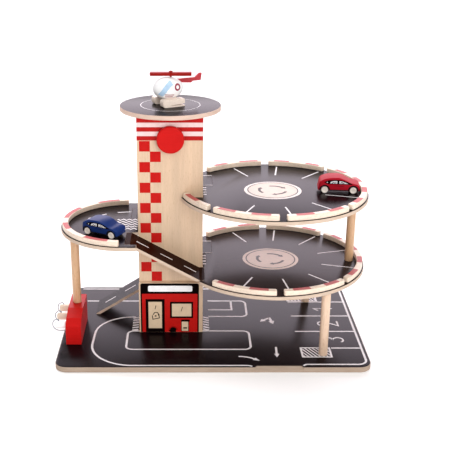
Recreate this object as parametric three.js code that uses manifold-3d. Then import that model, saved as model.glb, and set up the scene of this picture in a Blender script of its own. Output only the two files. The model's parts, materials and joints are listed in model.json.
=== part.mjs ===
import * as THREE from 'three';
import { mergeVertices } from 'three/addons/utils/BufferGeometryUtils.js';
import Module from 'manifold-3d';

// A wooden toy parking garage with a hand-wound lift, three ramps, two cars and a helicopter.
// Millimetres. X runs right, Y back and Z up from the middle of the base board's underside.

// Gaps shared by every piece
const seatGap = 0.3;
const slideGap = 0.6;
const shaftGap = 0.4;
const cutOverrun = 2;

// Base board
const baseLength = 560;
const baseDepth = 346;
const baseThickness = 10;
const baseCorner = 22;
const entryCentreX = 116;
const entryWidth = 78;
const entryFlare = 4;
const entryRun = 5.5;
const entryDrop = 5;

// Lift tower
const towerCentreX = -76.4;
const towerFrontY = -31.5;
const towerWidth = 117.7;
const towerDepth = 141;
const towerHeight = 413;
const panelThickness = 6;
const shaftWallThickness = 5;
const liftBayDepth = 60;
const helipadRadius = 92;
const helipadThickness = 8;
const serviceBoardHeight = 102;
const serviceBoardThickness = 5;
const serviceBoardCorner = 4;
const serviceBoardOverhang = 0.8;

// Decks, their heights being those of the tops above the base board
const deckThickness = 6.5;
const roundDeckRadius = 174;
const roundDeckCentreX = 112;
const roundDeckCentreY = 9.5;
const lowerDeckTip = 7;
const lowerDeckRise = 131.5;
const upperDeckRise = 268;
const leftDeckRise = 200;
const leftDeckRadius = 123.5;
const leftDeckCentreX = -158;
const leftDeckFrontStrip = 16.3;

// Kerbs round the decks
const kerbWidth = 11;
const kerbHeight = 9.5;
const kerbInset = 2.5;
const kerbCorner = 3;
const kerbEdgeRound = 1.4;
const kerbFacetDegrees = 7;
const cornerShare = 0.3;
const firstKerbEndDegrees = 223.6;
const lowerKerbDegrees = [[227.9, 268.8], [273, 315], [318, 404.4], [48, 88], [93, 135]];
const leftKerbDegrees = [92, 266];

// Ramps
const rampWidth = 60;
const rampThickness = 5;
const rampTab = 3;
const rampTabLength = 9;
const landingLength = 19;
const rampFootLip = 1.4;
const frontRampRun = 123;
const rearUpperRampRun = 126;
const rearLowerRampRun = 208;

// Posts
const postRadius = 8;
const postKerbGap = 5;
const frontPostShare = 0.921;
const frontPostDegrees = -57;
const rearPostShare = 0.72;
const rearPostDegrees = 48.2;
const upperPostDegrees = -2.5;

// Fuel pump block with its nozzles and hoses
const pumpWidth = 28;
const pumpLength = 108;
const pumpHeight = 53;
const pumpCreaseHeight = 36;
const pumpShoulderHeight = 46.5;
const pumpShoulderRun = 15;
const pumpTopRun = 46;
const pumpReachShare = 0.785;
const pumpBackSetback = 6;
const pumpPostShare = 0.325;
const nozzleCount = 3;
const nozzleFrontSetback = 14.5;
const nozzleSpacing = 36;
const nozzleRise = 34;
const handleRadius = 7;
const handleLength = 22;
const handleRound = 2.4;
const pegRadius = 3;
const pegLength = 14;
const hoseDiameter = 1.8;

// Lift: knob, spool, cord and cabin
const knobX = -75.5;
const knobRise = 375.5;
const knobRadius = 24.5;
const knobThickness = 10;
const knobRound = 2.4;
const knobSocketDepth = 6;
const spindleRadius = 4;
const drumRadius = 10;
const drumWidth = 16;
const flangeRadius = 16;
const flangeThickness = 2.5;
const cordDiameter = 1.8;
const cabinSetback = 3.5;
const cabinHeight = 60;
const cabinBoard = 5;
const cabinBackThickness = 9;
const guideRailWidth = 12;
const guideRailDepth = 5;
const guideRailHeight = 340;
const eyeRadius = 3;
const eyeWire = 1;
const eyeStem = 2.2;

// Toy cars
const carLength = 77;
const carWidth = 34;
const carHeight = 29;
const carClearance = 4.8;
const carEdgeRound = 3;
const carTumble = 1;
const carPlanCorner = 6;
const wheelbase = 51.5;
const wheelRadius = 6;
const wheelWidth = 5;
const wheelRound = 0.8;
const wheelDish = 0.7;
const wheelWellGap = 1;
const axleRadius = 1.6;
const redCarKerbGap = 1.8;
const redCarPlaceDegrees = -1.83;
const redCarDegrees = -6;
const blueCarRampGap = 41.05;
const blueCarForwardShare = 0.4251;
const blueCarDegrees = -29;

// Helicopter
const heliYawDegrees = 207;
const heliLength = 58;
const heliRadius = 20;
const heliLift = 30.5;
const heliOffset = -4;
const heliPinSetback = 5.5;
const skidSpread = 36;
const skidWidth = 14;
const skidLength = 43;
const skidHeight = 14;
const skidRunner = 2.6;
const skidNose = 5;
const tailLength = 53;
const tailThickness = 4;
const tailBoom = 6;
const tailFin = 13;
const rotorLength = 75;
const rotorWidth = 13;
const rotorThickness = 5.5;
const rotorCorner = 1.5;
const rotorLift = 2.2;
const pinRadius = 1.8;
const pinHeadRadius = 3.6;
const pinHeadHeight = 2.4;
const pinDepth = 7;

// How finely round forms are faceted
const deckSegments = 44;
const dowelSegments = 20;
const turnedSegments = 18;
const knobSegments = 40;
const bevelSteps = 2;
const hoseSides = 8;
const hoseSteps = 14;

// Outlines as shares of the length and the height of what they draw
const carProfileShares = [
  [-0.5, 0.21], [-0.48, 0.457], [-0.445, 0.753], [-0.326, 0.926], [-0.199, 0.988], [-0.025, 1],
  [0.094, 0.926], [0.203, 0.778], [0.285, 0.679], [0.386, 0.63], [0.468, 0.506], [0.495, 0.358], [0.5, 0.2],
];
const eggShares = [
  [-0.5, 0], [-0.485, 0.24], [-0.43, 0.52], [-0.33, 0.78], [-0.19, 0.95], [-0.04, 1],
  [0.12, 0.95], [0.27, 0.81], [0.39, 0.6], [0.47, 0.32], [0.5, 0],
];

// Route of a hose from its pump outlet, X out of the pump's side and Z up from the nozzle's axis
const hoseRoute = [
  [-0.4, 0, -11.5], [-3.5, 0, -11.5], [-8, -0.5, -11.6], [-13.5, -1.2, -11.2], [-18.6, -1.8, -9.4],
  [-22.6, -2, -5.8], [-24.8, -2, -0.8], [-24.8, -1.6, 4.4], [-22.6, -1, 8.6], [-18.8, -0.4, 10.9],
  [-15.8, 0, 10.6], [-14.2, 0, 9.2], [-14, 0, 7.4],
];

const degree = Math.PI / 180;
const wasm = await Module();
wasm.setup();

const paint = (color, roughness) => new THREE.MeshStandardMaterial({ color, roughness, metalness: 0 });
const naturalWood = paint(0xe6cda6, 0.6);
const blackDeck = paint(0x211f23, 0.25);
const redPaint = paint(0xd3212a, 0.35);
const bluePaint = paint(0x1f2f63, 0.35);
const whitePaint = paint(0xf2f2f0, 0.4);
const hosePaint = paint(0xb9bcc0, 0.5);
const cordFibre = paint(0xe9e4d6, 0.85);

const garage = new THREE.Group();

function place(parent, name, geometry, material, x = 0, y = 0, z = 0) {
  const mesh = new THREE.Mesh(geometry, material);
  mesh.name = name;
  mesh.position.set(x, y, z);
  parent.add(mesh);
  return mesh;
}

// Merges shared corners, drops triangles with no area and turns the faces outwards
function closed(geometry) {
  geometry.deleteAttribute('normal');
  geometry.deleteAttribute('uv');
  const merged = mergeVertices(geometry);
  const corners = merged.attributes.position.array;
  const index = merged.index.array;
  const kept = [];
  let volume = 0;
  const [a, b, c] = [new THREE.Vector3(), new THREE.Vector3(), new THREE.Vector3()];
  for (let i = 0; i < index.length; i += 3) {
    const [p, q, r] = [index[i], index[i + 1], index[i + 2]];
    if (p === q || q === r || r === p) continue;
    kept.push(p, q, r);
    a.fromArray(corners, 3 * p);
    b.fromArray(corners, 3 * q);
    c.fromArray(corners, 3 * r);
    volume += a.dot(b.cross(c));
  }
  if (volume < 0) kept.reverse();
  return surface(corners, kept);
}

function surface(corners, index) {
  const geometry = new THREE.BufferGeometry();
  geometry.setAttribute('position', new THREE.BufferAttribute(new Float32Array(corners), 3));
  geometry.setIndex([...index]);
  geometry.computeVertexNormals();
  return geometry;
}

function solid(geometry) {
  const vertProperties = new Float32Array(geometry.attributes.position.array);
  const triVerts = new Uint32Array(geometry.index.array);
  return new wasm.Manifold(new wasm.Mesh({ numProp: 3, vertProperties, triVerts }));
}

function meshOf(manifold) {
  const mesh = manifold.getMesh();
  return surface(mesh.vertProperties, mesh.triVerts);
}

function cut(geometry, ...tools) {
  return meshOf(tools.reduce((left, tool) => left.subtract(solid(tool)), solid(geometry)));
}

// A flat piece lying from Z = 0 up, with its top and bottom edges rounded if round is given
function flatPiece(shape, height, round = 0, curveSegments = dowelSegments / 2) {
  const rounded = round > 0;
  const geometry = new THREE.ExtrudeGeometry(shape, {
    depth: height - 2 * round,
    bevelEnabled: rounded,
    bevelThickness: round,
    bevelSize: round,
    bevelOffset: -round,
    bevelSegments: bevelSteps,
    curveSegments,
  });
  return closed(geometry.translate(0, 0, round));
}

// A profile in X and Z, as wide as width, centred on Y = 0
function acrossY(shape, width, round = 0, curveSegments = dowelSegments / 2) {
  return flatPiece(shape, width, round, curveSegments).rotateX(Math.PI / 2).translate(0, width / 2, 0);
}

// A profile in Y and Z, as wide as width, centred on X = 0
function acrossX(shape, width, round = 0) {
  const turn = new THREE.Matrix4().makeBasis(
    new THREE.Vector3(0, 1, 0), new THREE.Vector3(0, 0, 1), new THREE.Vector3(1, 0, 0),
  );
  return flatPiece(shape, width, round).applyMatrix4(turn).translate(-width / 2, 0, 0);
}

function polygon(points) {
  return new THREE.Shape(points.map(([x, y]) => new THREE.Vector2(x, y)));
}

function rectangle(x0, y0, x1, y1) {
  return polygon([[x0, y0], [x1, y0], [x1, y1], [x0, y1]]);
}

function roundedRectangle(x0, y0, x1, y1, corner) {
  const shape = new THREE.Shape();
  shape.absarc(x1 - corner, y0 + corner, corner, -Math.PI / 2, 0);
  shape.absarc(x1 - corner, y1 - corner, corner, 0, Math.PI / 2);
  shape.absarc(x0 + corner, y1 - corner, corner, Math.PI / 2, Math.PI);
  shape.absarc(x0 + corner, y0 + corner, corner, Math.PI, 1.5 * Math.PI);
  shape.closePath();
  return shape;
}

function circle(x, y, radius) {
  return new THREE.Shape().absarc(x, y, radius, 0, 2 * Math.PI);
}

// A turned piece on the Y axis, its outline given as radius and Y from one end to the other
function turned(outline, segments = turnedSegments) {
  return closed(new THREE.LatheGeometry(outline.map(([r, y]) => new THREE.Vector2(r, y)), segments));
}

function rod(radius, length, segments = dowelSegments) {
  return turned([[0, 0], [radius, 0], [radius, length], [0, length]], segments);
}

// Base board with the sloping entry cut into its front edge
const baseTop = baseThickness;
const seatOnBase = baseTop + seatGap;

function baseBoard() {
  const outline = roundedRectangle(
    -baseLength / 2, -baseDepth / 2, baseLength / 2, baseDepth / 2, baseCorner,
  );
  const run = entryRun + cutOverrun;
  const drop = entryDrop * run / entryRun;
  const wedge = polygon([[0, 0], [-run, -drop], [-run, cutOverrun], [0, cutOverrun]]);
  const slope = acrossX(wedge, entryWidth + 2 * entryFlare)
    .translate(entryCentreX, entryRun - baseDepth / 2, baseTop);
  const reach = entryRun + cutOverrun;
  const plan = polygon([
    [-entryWidth / 2 - entryFlare, -reach], [entryWidth / 2 + entryFlare, -reach],
    [entryWidth / 2, 0], [-entryWidth / 2, 0],
  ]);
  const flare = flatPiece(plan, baseThickness + 2 * cutOverrun)
    .translate(entryCentreX, entryRun - baseDepth / 2, -cutOverrun);
  const entry = solid(slope).intersect(solid(flare));
  return meshOf(solid(flatPiece(outline, baseThickness)).subtract(entry));
}

place(garage, 'base_board', baseBoard(), blackDeck);

// Tower: front panel, back panel, shaft wall and the guide rail for the lift cabin
const towerLeft = towerCentreX - towerWidth / 2;
const towerRight = towerCentreX + towerWidth / 2;
const towerBackY = towerFrontY + towerDepth;
const bayFrontY = towerFrontY + panelThickness;
const bayBackY = bayFrontY + liftBayDepth;
const bayMiddleY = bayBackY - slideGap - cabinBackThickness - (liftBayDepth - cabinBackThickness) / 2;
const knobZ = baseTop + knobRise;

function towerPanel(thickness, holes) {
  const shape = rectangle(towerLeft, 0, towerRight, towerHeight);
  for (const [x, z, radius] of holes) shape.holes.push(circle(x, z, radius));
  return acrossY(shape, thickness);
}

const spindleHole = [knobX, knobZ - seatOnBase, spindleRadius + shaftGap];
place(garage, 'tower_front_panel', towerPanel(panelThickness, [spindleHole]), naturalWood,
  0, towerFrontY + panelThickness / 2, seatOnBase);
place(garage, 'tower_back_panel', towerPanel(panelThickness, []), naturalWood,
  0, towerBackY - panelThickness / 2, seatOnBase);
place(garage, 'tower_shaft_wall', towerPanel(shaftWallThickness, [spindleHole]), naturalWood,
  0, bayBackY + shaftWallThickness / 2, seatOnBase);

const railShape = rectangle(-guideRailWidth / 2, 0, guideRailWidth / 2, guideRailHeight);
place(garage, 'lift_guide_rail', acrossY(railShape, guideRailDepth), naturalWood,
  towerCentreX, bayBackY - seatGap - guideRailDepth / 2, seatOnBase);

const helipadZ = seatOnBase + towerHeight + seatGap;
const helipadTop = helipadZ + helipadThickness;
const helipadY = towerFrontY + towerDepth / 2;
place(garage, 'helipad', flatPiece(circle(0, 0, helipadRadius), helipadThickness, 0, deckSegments),
  blackDeck, towerCentreX, helipadY, helipadZ);

const boardHalf = towerWidth / 2 + serviceBoardOverhang;
const boardShape = new THREE.Shape();
boardShape.moveTo(-boardHalf, 0);
boardShape.lineTo(boardHalf, 0);
boardShape.absarc(boardHalf - serviceBoardCorner, serviceBoardHeight - serviceBoardCorner,
  serviceBoardCorner, 0, Math.PI / 2);
boardShape.absarc(serviceBoardCorner - boardHalf, serviceBoardHeight - serviceBoardCorner,
  serviceBoardCorner, Math.PI / 2, Math.PI);
boardShape.closePath();
place(garage, 'service_board', acrossY(boardShape, serviceBoardThickness), redPaint,
  towerCentreX, towerFrontY - seatGap - serviceBoardThickness / 2, seatOnBase);

// Decks: two round ones notched for the tower, and the half round one on the left
const lowerDeckTop = baseTop + lowerDeckRise;
const upperDeckTop = baseTop + upperDeckRise;
const leftDeckTop = baseTop + leftDeckRise;
const roundDeckEdgeX = towerRight + shaftGap;
const notchY = towerFrontY - shaftGap;

// A round deck's part in front of the tower ends at tipX, or runs on to the circle if that comes first
function roundDeckShape(tipX) {
  const shape = new THREE.Shape();
  const backAngle = Math.acos((roundDeckEdgeX - roundDeckCentreX) / roundDeckRadius);
  const circleX = roundDeckCentreX - Math.sqrt(roundDeckRadius ** 2 - (roundDeckCentreY - notchY) ** 2);
  const tip = Math.max(tipX, circleX);
  const tipAngle = -Math.acos((tip - roundDeckCentreX) / roundDeckRadius);
  shape.moveTo(tip, notchY);
  shape.lineTo(roundDeckEdgeX, notchY);
  shape.lineTo(roundDeckEdgeX, roundDeckCentreY + roundDeckRadius * Math.sin(backAngle));
  shape.absarc(roundDeckCentreX, roundDeckCentreY, roundDeckRadius, backAngle, tipAngle, true);
  shape.closePath();
  return shape;
}

// Ramps end in thin tabs that lie flush in rebates cut into the decks' tops
const tabSeat = rampTab + seatGap;

function rebated(deck, ...rebates) {
  return cut(deck, ...rebates.map(([x0, y0, x1, y1]) => flatPiece(rectangle(x0, y0, x1, y1), tabSeat + cutOverrun)
    .translate(0, 0, deckThickness - tabSeat)));
}

const rearBayY = (bayBackY + shaftWallThickness + towerBackY - panelThickness) / 2;
const rearRampY0 = rearBayY - rampWidth / 2 - slideGap;
const rearRampY1 = rearBayY + rampWidth / 2 + slideGap;
const leftDeckEdgeX = towerLeft - shaftGap;
const frontRampBackY = towerFrontY - slideGap;
const frontRampFrontY = frontRampBackY - rampWidth;
const rampNotchX = leftDeckEdgeX - rampTabLength - panelThickness / 2;
const rampNotchY = frontRampFrontY - slideGap;
const frontRampFootX = rampNotchX + slideGap + frontRampRun;
const frontRampHeadX = rampNotchX + slideGap - rampTabLength;
const rearUpperRampX = roundDeckEdgeX - slideGap - rearUpperRampRun;

const lowerDeckTipX = roundDeckEdgeX - lowerDeckTip;
const upperDeckTipX = roundDeckCentreX - roundDeckRadius;
const landingRebate = [roundDeckEdgeX - cutOverrun, rearRampY0, roundDeckEdgeX + landingLength, rearRampY1];
const footRebate = [
  lowerDeckTipX - cutOverrun, rampNotchY, frontRampFootX + rampTabLength + slideGap, towerFrontY,
];

function roundDeck(tipX, ...rebates) {
  return rebated(flatPiece(roundDeckShape(tipX), deckThickness, 0, deckSegments), ...rebates);
}

place(garage, 'lower_deck', roundDeck(lowerDeckTipX, landingRebate, footRebate), blackDeck,
  0, 0, lowerDeckTop - deckThickness);
place(garage, 'upper_deck', roundDeck(upperDeckTipX, landingRebate), blackDeck,
  0, 0, upperDeckTop - deckThickness);

const leftDeckCentreY = rampNotchY - leftDeckFrontStrip + leftDeckRadius;

function leftDeckShape() {
  const shape = new THREE.Shape();
  shape.moveTo(leftDeckEdgeX, leftDeckCentreY + leftDeckRadius);
  shape.lineTo(leftDeckCentreX, leftDeckCentreY + leftDeckRadius);
  shape.absarc(leftDeckCentreX, leftDeckCentreY, leftDeckRadius, Math.PI / 2, 1.5 * Math.PI);
  shape.lineTo(leftDeckEdgeX, leftDeckCentreY - leftDeckRadius);
  shape.lineTo(leftDeckEdgeX, rampNotchY);
  shape.lineTo(rampNotchX, rampNotchY);
  shape.lineTo(rampNotchX, towerFrontY);
  shape.lineTo(leftDeckEdgeX, towerFrontY);
  shape.closePath();
  return shape;
}

const leftDeck = rebated(flatPiece(leftDeckShape(), deckThickness, 0, deckSegments / 2),
  [rearUpperRampX - rampTabLength - slideGap, rearRampY0, leftDeckEdgeX + cutOverrun, rearRampY1],
  [frontRampHeadX - slideGap, rampNotchY, rampNotchX + cutOverrun, towerFrontY]);
place(garage, 'left_deck', leftDeck, blackDeck, 0, 0, leftDeckTop - deckThickness);

// Kerbs: curved strips with softened corners
function kerb(centreX, centreY, deckRadius, [start, end]) {
  const outer = deckRadius - kerbInset;
  const inner = outer - kerbWidth;
  const at = (radius, angle) => [centreX + radius * Math.cos(angle), centreY + radius * Math.sin(angle)];
  const [from, to] = [start * degree, end * degree];
  const steps = Math.round((end - start) / kerbFacetDegrees);
  const outline = [];
  const arc = (radius, first, last) => {
    for (let i = 0; i <= steps; i += 1) outline.push(at(radius, first + (last - first) * i / steps));
  };
  const cornerAt = (radius, inward, angle, turn) => {
    outline.push(at(radius + inward * kerbCorner * cornerShare, angle + turn * cornerShare));
  };
  const [outerTurn, innerTurn] = [kerbCorner / outer, kerbCorner / inner];
  arc(outer, from + outerTurn, to - outerTurn);
  cornerAt(outer, -1, to, -outerTurn);
  outline.push(at(outer - kerbCorner, to), at(inner + kerbCorner, to));
  cornerAt(inner, 1, to, -innerTurn);
  arc(inner, to - innerTurn, from + innerTurn);
  cornerAt(inner, 1, from, innerTurn);
  outline.push(at(inner + kerbCorner, from), at(outer - kerbCorner, from));
  cornerAt(outer, -1, from, outerTurn);
  return flatPiece(polygon(outline), kerbHeight, kerbEdgeRound);
}

function kerbRing(prefix, spans, top) {
  spans.forEach((span, i) => {
    const piece = kerb(roundDeckCentreX, roundDeckCentreY, roundDeckRadius, span);
    place(garage, `${prefix}_kerb_${i + 1}`, piece, naturalWood, 0, 0, top + seatGap);
  });
}

// The upper deck has one kerb more, which starts where the tower's front face cuts the ring
const kerbInnerRadius = roundDeckRadius - kerbInset - kerbWidth;
const firstKerbStart = 180 + Math.asin((roundDeckCentreY - notchY) / kerbInnerRadius) / degree;
const upperKerbDegrees = [[firstKerbStart, firstKerbEndDegrees], ...lowerKerbDegrees];
kerbRing('upper', upperKerbDegrees, upperDeckTop);
kerbRing('lower', lowerKerbDegrees, lowerDeckTop);
place(garage, 'left_kerb', kerb(leftDeckCentreX, leftDeckCentreY, leftDeckRadius, leftKerbDegrees),
  naturalWood, 0, 0, leftDeckTop + seatGap);

// Ramps: a sloping board whose ends lie in the decks as thin tabs.
// The outline runs uphill along X from the lower break of the slope, with Z up from what it stands on.
function ramp(rise, run, lip, lowerTab, upperTab) {
  const slope = (rise + rampTab - lip) / run;
  const drop = rampThickness * Math.hypot(1, slope);
  const outline = [
    [-lowerTab, 0], [Math.max(drop - lip, 0) / slope, 0], [run, rise + rampTab - drop], [run, rise],
    [run + upperTab, rise], [run + upperTab, rise + rampTab], [run, rise + rampTab], [0, lip],
  ];
  if (lowerTab > 0) outline.push([-lowerTab, lip]);
  return acrossY(polygon(outline), rampWidth);
}

const lowerRampX = roundDeckEdgeX - slideGap - rearLowerRampRun;
place(garage, 'ramp_base_to_lower',
  ramp(lowerDeckTop - rampTab - seatOnBase, rearLowerRampRun, rampFootLip, 0, landingLength),
  blackDeck, lowerRampX, rearBayY, seatOnBase);
place(garage, 'ramp_left_to_upper',
  ramp(upperDeckTop - leftDeckTop, rearUpperRampRun, rampTab, rampTabLength, landingLength),
  blackDeck, rearUpperRampX, rearBayY, leftDeckTop - rampTab);

const frontRamp = ramp(leftDeckTop - lowerDeckTop, frontRampRun, rampTab, rampTabLength, rampTabLength)
  .rotateZ(Math.PI);
place(garage, 'ramp_lower_to_left', frontRamp, blackDeck, frontRampFootX,
  frontRampBackY - rampWidth / 2, lowerDeckTop - rampTab);

// Posts between the base, the pump and the decks
function post(name, x, y, bottom, top) {
  const height = top - bottom - 2 * seatGap;
  place(garage, name, flatPiece(circle(0, 0, postRadius), height), naturalWood, x, y, bottom + seatGap);
}

function roundDeckPoint(reach, degrees) {
  return [
    roundDeckCentreX + reach * Math.cos(degrees * degree),
    roundDeckCentreY + reach * Math.sin(degrees * degree),
  ];
}

const lowerDeckUnder = lowerDeckTop - deckThickness;
const upperPostReach = kerbInnerRadius - postKerbGap - postRadius;
post('lower_post_front', ...roundDeckPoint(frontPostShare * roundDeckRadius, frontPostDegrees),
  baseTop, lowerDeckUnder);
post('lower_post_rear', ...roundDeckPoint(rearPostShare * roundDeckRadius, rearPostDegrees),
  baseTop, lowerDeckUnder);
post('upper_post', ...roundDeckPoint(upperPostReach, upperPostDegrees),
  lowerDeckTop, upperDeckTop - deckThickness);

// Fuel pump block with three sockets, three nozzles and their hoses
const pumpX = leftDeckCentreX - pumpReachShare * leftDeckRadius;
const pumpBackY = leftDeckCentreY + pumpBackSetback;
const pumpFrontY = pumpBackY - pumpLength;
const pumpLeftX = pumpX - pumpWidth / 2;
const nozzleZ = baseTop + nozzleRise;
const nozzleFirstY = pumpFrontY + nozzleFrontSetback;
const nozzleNames = ['front', 'middle', 'rear'];

function pumpBlock() {
  const profile = polygon([
    [pumpFrontY, 0], [pumpBackY, 0], [pumpBackY, pumpHeight],
    [pumpFrontY + pumpTopRun, pumpHeight], [pumpFrontY + pumpShoulderRun, pumpShoulderHeight],
    [pumpFrontY, pumpCreaseHeight],
  ]);
  const sockets = [];
  for (let i = 0; i < nozzleCount; i += 1) {
    const socket = rod(pegRadius + shaftGap, pegLength + shaftGap + cutOverrun).rotateZ(-Math.PI / 2);
    socket.translate(-pumpWidth / 2 - cutOverrun, nozzleFirstY + i * nozzleSpacing, nozzleZ - seatOnBase);
    sockets.push(socket);
  }
  return cut(acrossX(profile, pumpWidth), ...sockets);
}

function nozzle() {
  return turned([
    [0, -pegLength], [pegRadius, -pegLength], [pegRadius, shaftGap],
    [handleRadius - handleRound, shaftGap], [handleRadius, handleRound],
    [handleRadius, handleLength - 2 * handleRound], [handleRadius - handleRound, handleLength - handleRound / 2],
    [handleRadius / 2, handleLength], [0, handleLength],
  ]).rotateZ(Math.PI / 2);
}

function hose() {
  const route = new THREE.CatmullRomCurve3(hoseRoute.map((point) => new THREE.Vector3(...point)));
  const section = new THREE.Shape();
  for (let i = 0; i < hoseSides; i += 1) {
    const angle = (i + 0.5) * 2 * Math.PI / hoseSides;
    const corner = [hoseDiameter / 2 * Math.cos(angle), hoseDiameter / 2 * Math.sin(angle)];
    if (i === 0) section.moveTo(...corner);
    else section.lineTo(...corner);
  }
  return closed(new THREE.ExtrudeGeometry(section, {
    steps: hoseSteps, extrudePath: route, bevelEnabled: false,
  }));
}

place(garage, 'pump_block', pumpBlock(), redPaint, pumpX, 0, seatOnBase);
for (let i = 0; i < nozzleCount; i += 1) {
  const y = nozzleFirstY + i * nozzleSpacing;
  const finish = i === 0 ? whitePaint : naturalWood;
  place(garage, `nozzle_${nozzleNames[i]}`, nozzle(), finish, pumpLeftX, y, nozzleZ);
  place(garage, `hose_${nozzleNames[i]}`, hose(), hosePaint, pumpLeftX, y, nozzleZ);
}
const pumpPostY = pumpBackY - pumpPostShare * pumpLength;
post('pump_post', pumpX, pumpPostY, seatOnBase + pumpHeight, leftDeckTop - deckThickness);

// Lift drive: the knob and the spool turn together, the cord hangs from the drum's left side
const knobBackY = towerFrontY - slideGap;
const knobFrontY = knobBackY - knobThickness;
const spindleEndY = bayBackY + shaftWallThickness - shaftGap;

function knob() {
  const socket = spindleRadius + shaftGap;
  return turned([
    [0, 0], [knobRadius - 2 * knobRound, 0], [knobRadius - knobRound / 3, knobRound / 3],
    [knobRadius, knobRound], [knobRadius, knobThickness - knobRound / 2],
    [knobRadius - knobRound / 2, knobThickness], [socket, knobThickness],
    [socket, knobThickness - knobSocketDepth], [0, knobThickness - knobSocketDepth],
  ], knobSegments);
}

function spool() {
  const start = knobBackY - knobSocketDepth + shaftGap;
  const [drumFront, drumBack] = [bayMiddleY - drumWidth / 2, bayMiddleY + drumWidth / 2];
  return turned([
    [0, start], [spindleRadius, start], [spindleRadius, drumFront - flangeThickness],
    [flangeRadius, drumFront - flangeThickness], [flangeRadius, drumFront], [drumRadius, drumFront],
    [drumRadius, drumBack], [flangeRadius, drumBack], [flangeRadius, drumBack + flangeThickness],
    [spindleRadius, drumBack + flangeThickness], [spindleRadius, spindleEndY], [0, spindleEndY],
  ], dowelSegments);
}

place(garage, 'lift_knob', knob(), redPaint, knobX, knobFrontY, knobZ);
place(garage, 'lift_spool', spool(), naturalWood, knobX, 0, knobZ);

// Lift cabin: floor, grooved back that rides on the rail, and roof with the eye for the cord
const cabinLength = towerWidth - 2 * cabinSetback;
const cabinBackY = bayBackY - slideGap;
const cabinFaceY = cabinBackY - cabinBackThickness;
const cabinFrontY = bayFrontY + slideGap;
const cabinZ = baseTop + slideGap;
const cabinDepth = cabinFaceY - seatGap - cabinFrontY;
const roofZ = cabinZ + cabinHeight - cabinBoard;
const cordX = knobX - drumRadius - seatGap - cordDiameter / 2;
const cordFootZ = roofZ + cabinBoard + eyeStem + 2 * eyeRadius + eyeWire + seatGap;

function cabinBack() {
  const groove = guideRailWidth / 2 + slideGap;
  const grooveY = cabinBackY - guideRailDepth - slideGap;
  const shape = polygon([
    [-cabinLength / 2, cabinFaceY], [cabinLength / 2, cabinFaceY], [cabinLength / 2, cabinBackY],
    [groove, cabinBackY], [groove, grooveY], [-groove, grooveY], [-groove, cabinBackY],
    [-cabinLength / 2, cabinBackY],
  ]);
  return flatPiece(shape, cabinHeight);
}

function cabinPlate() {
  const half = cabinLength / 2;
  return flatPiece(rectangle(-half, cabinFrontY, half, cabinFrontY + cabinDepth), cabinBoard);
}

function cabinRoof() {
  const ring = closed(new THREE.TorusGeometry(eyeRadius, eyeWire, 8, 16)).rotateX(Math.PI / 2);
  ring.translate(cordX - towerCentreX, bayMiddleY, cabinBoard + eyeStem + eyeRadius);
  const stem = rod(eyeWire, eyeStem + eyeWire / 2 + cabinBoard / 2, 8).rotateX(Math.PI / 2);
  stem.translate(cordX - towerCentreX, bayMiddleY, cabinBoard / 2);
  return meshOf(solid(cabinPlate()).add(solid(stem)).add(solid(ring)));
}

place(garage, 'lift_floor', cabinPlate(), blackDeck, towerCentreX, 0, cabinZ);
place(garage, 'lift_back', cabinBack(), naturalWood, towerCentreX, 0, cabinZ);
place(garage, 'lift_roof', cabinRoof(), redPaint, towerCentreX, 0, roofZ);
place(garage, 'lift_cord', rod(cordDiameter / 2, knobZ - cordFootZ, 8).rotateX(Math.PI / 2), cordFibre,
  cordX, bayMiddleY, cordFootZ);

// Toy cars: a rounded body with wheel wells and bores for the axles.
// The left wheel is turned in one with its axle and the right wheel is pressed on the far end.
function carBody() {
  const [halfLength, halfWidth] = [carLength / 2, carWidth / 2];
  const shape = new THREE.Shape();
  const points = carProfileShares.map(
    ([along, up]) => new THREE.Vector2(along * carLength, up * carHeight),
  );
  shape.moveTo(points[0].x, points[0].y);
  shape.splineThru(points.slice(1));
  shape.lineTo(points.at(-1).x - carEdgeRound / 2, carClearance);
  shape.lineTo(points[0].x + carEdgeRound / 2, carClearance);
  shape.closePath();
  const shoulder = halfWidth - carTumble;
  const section = polygon([
    [-halfWidth + carEdgeRound / 3, carClearance], [halfWidth - carEdgeRound / 3, carClearance],
    [halfWidth, carClearance + carEdgeRound / 3], [halfWidth, carHeight / 2],
    [shoulder, carHeight - carEdgeRound], [shoulder - carEdgeRound / 3, carHeight - carEdgeRound / 3],
    [shoulder - carEdgeRound, carHeight], [-shoulder + carEdgeRound, carHeight],
    [-shoulder + carEdgeRound / 3, carHeight - carEdgeRound / 3], [-shoulder, carHeight - carEdgeRound],
    [-halfWidth, carHeight / 2], [-halfWidth, carClearance + carEdgeRound / 3],
  ]);
  const plan = roundedRectangle(-halfLength, -halfWidth, halfLength, halfWidth, carPlanCorner);
  let body = solid(acrossY(shape, carWidth, 0, 2))
    .intersect(solid(acrossX(section, carLength)))
    .intersect(solid(flatPiece(plan, carHeight, 0, 4)));
  const wellDepth = wheelWidth + wheelWellGap;
  for (const x of [-wheelbase / 2, wheelbase / 2]) {
    for (const y of [-halfWidth - cutOverrun, halfWidth - wellDepth]) {
      const well = rod(wheelRadius + wheelWellGap, wellDepth + cutOverrun).translate(x, y, wheelRadius);
      body = body.subtract(solid(well));
    }
    const bore = rod(axleRadius + shaftGap, carWidth, 12).translate(x, -halfWidth, wheelRadius);
    body = body.subtract(solid(bore));
  }
  return meshOf(body);
}

function wheelRim(y) {
  return [
    [wheelRadius - wheelRound, y], [wheelRadius, y + wheelRound],
    [wheelRadius, y + wheelWidth - wheelRound], [wheelRadius - wheelRound, y + wheelWidth],
  ];
}

function axleWheel() {
  const start = -carWidth / 2 + wheelDish;
  const inner = carWidth / 2 - wheelWidth;
  const face = carWidth / 2 - wheelDish;
  const hub = wheelRadius / 2;
  return turned([[0, start], [axleRadius, start], [axleRadius, inner], ...wheelRim(inner),
    [hub + wheelDish, carWidth / 2], [hub, face], [0, face]]);
}

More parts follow.
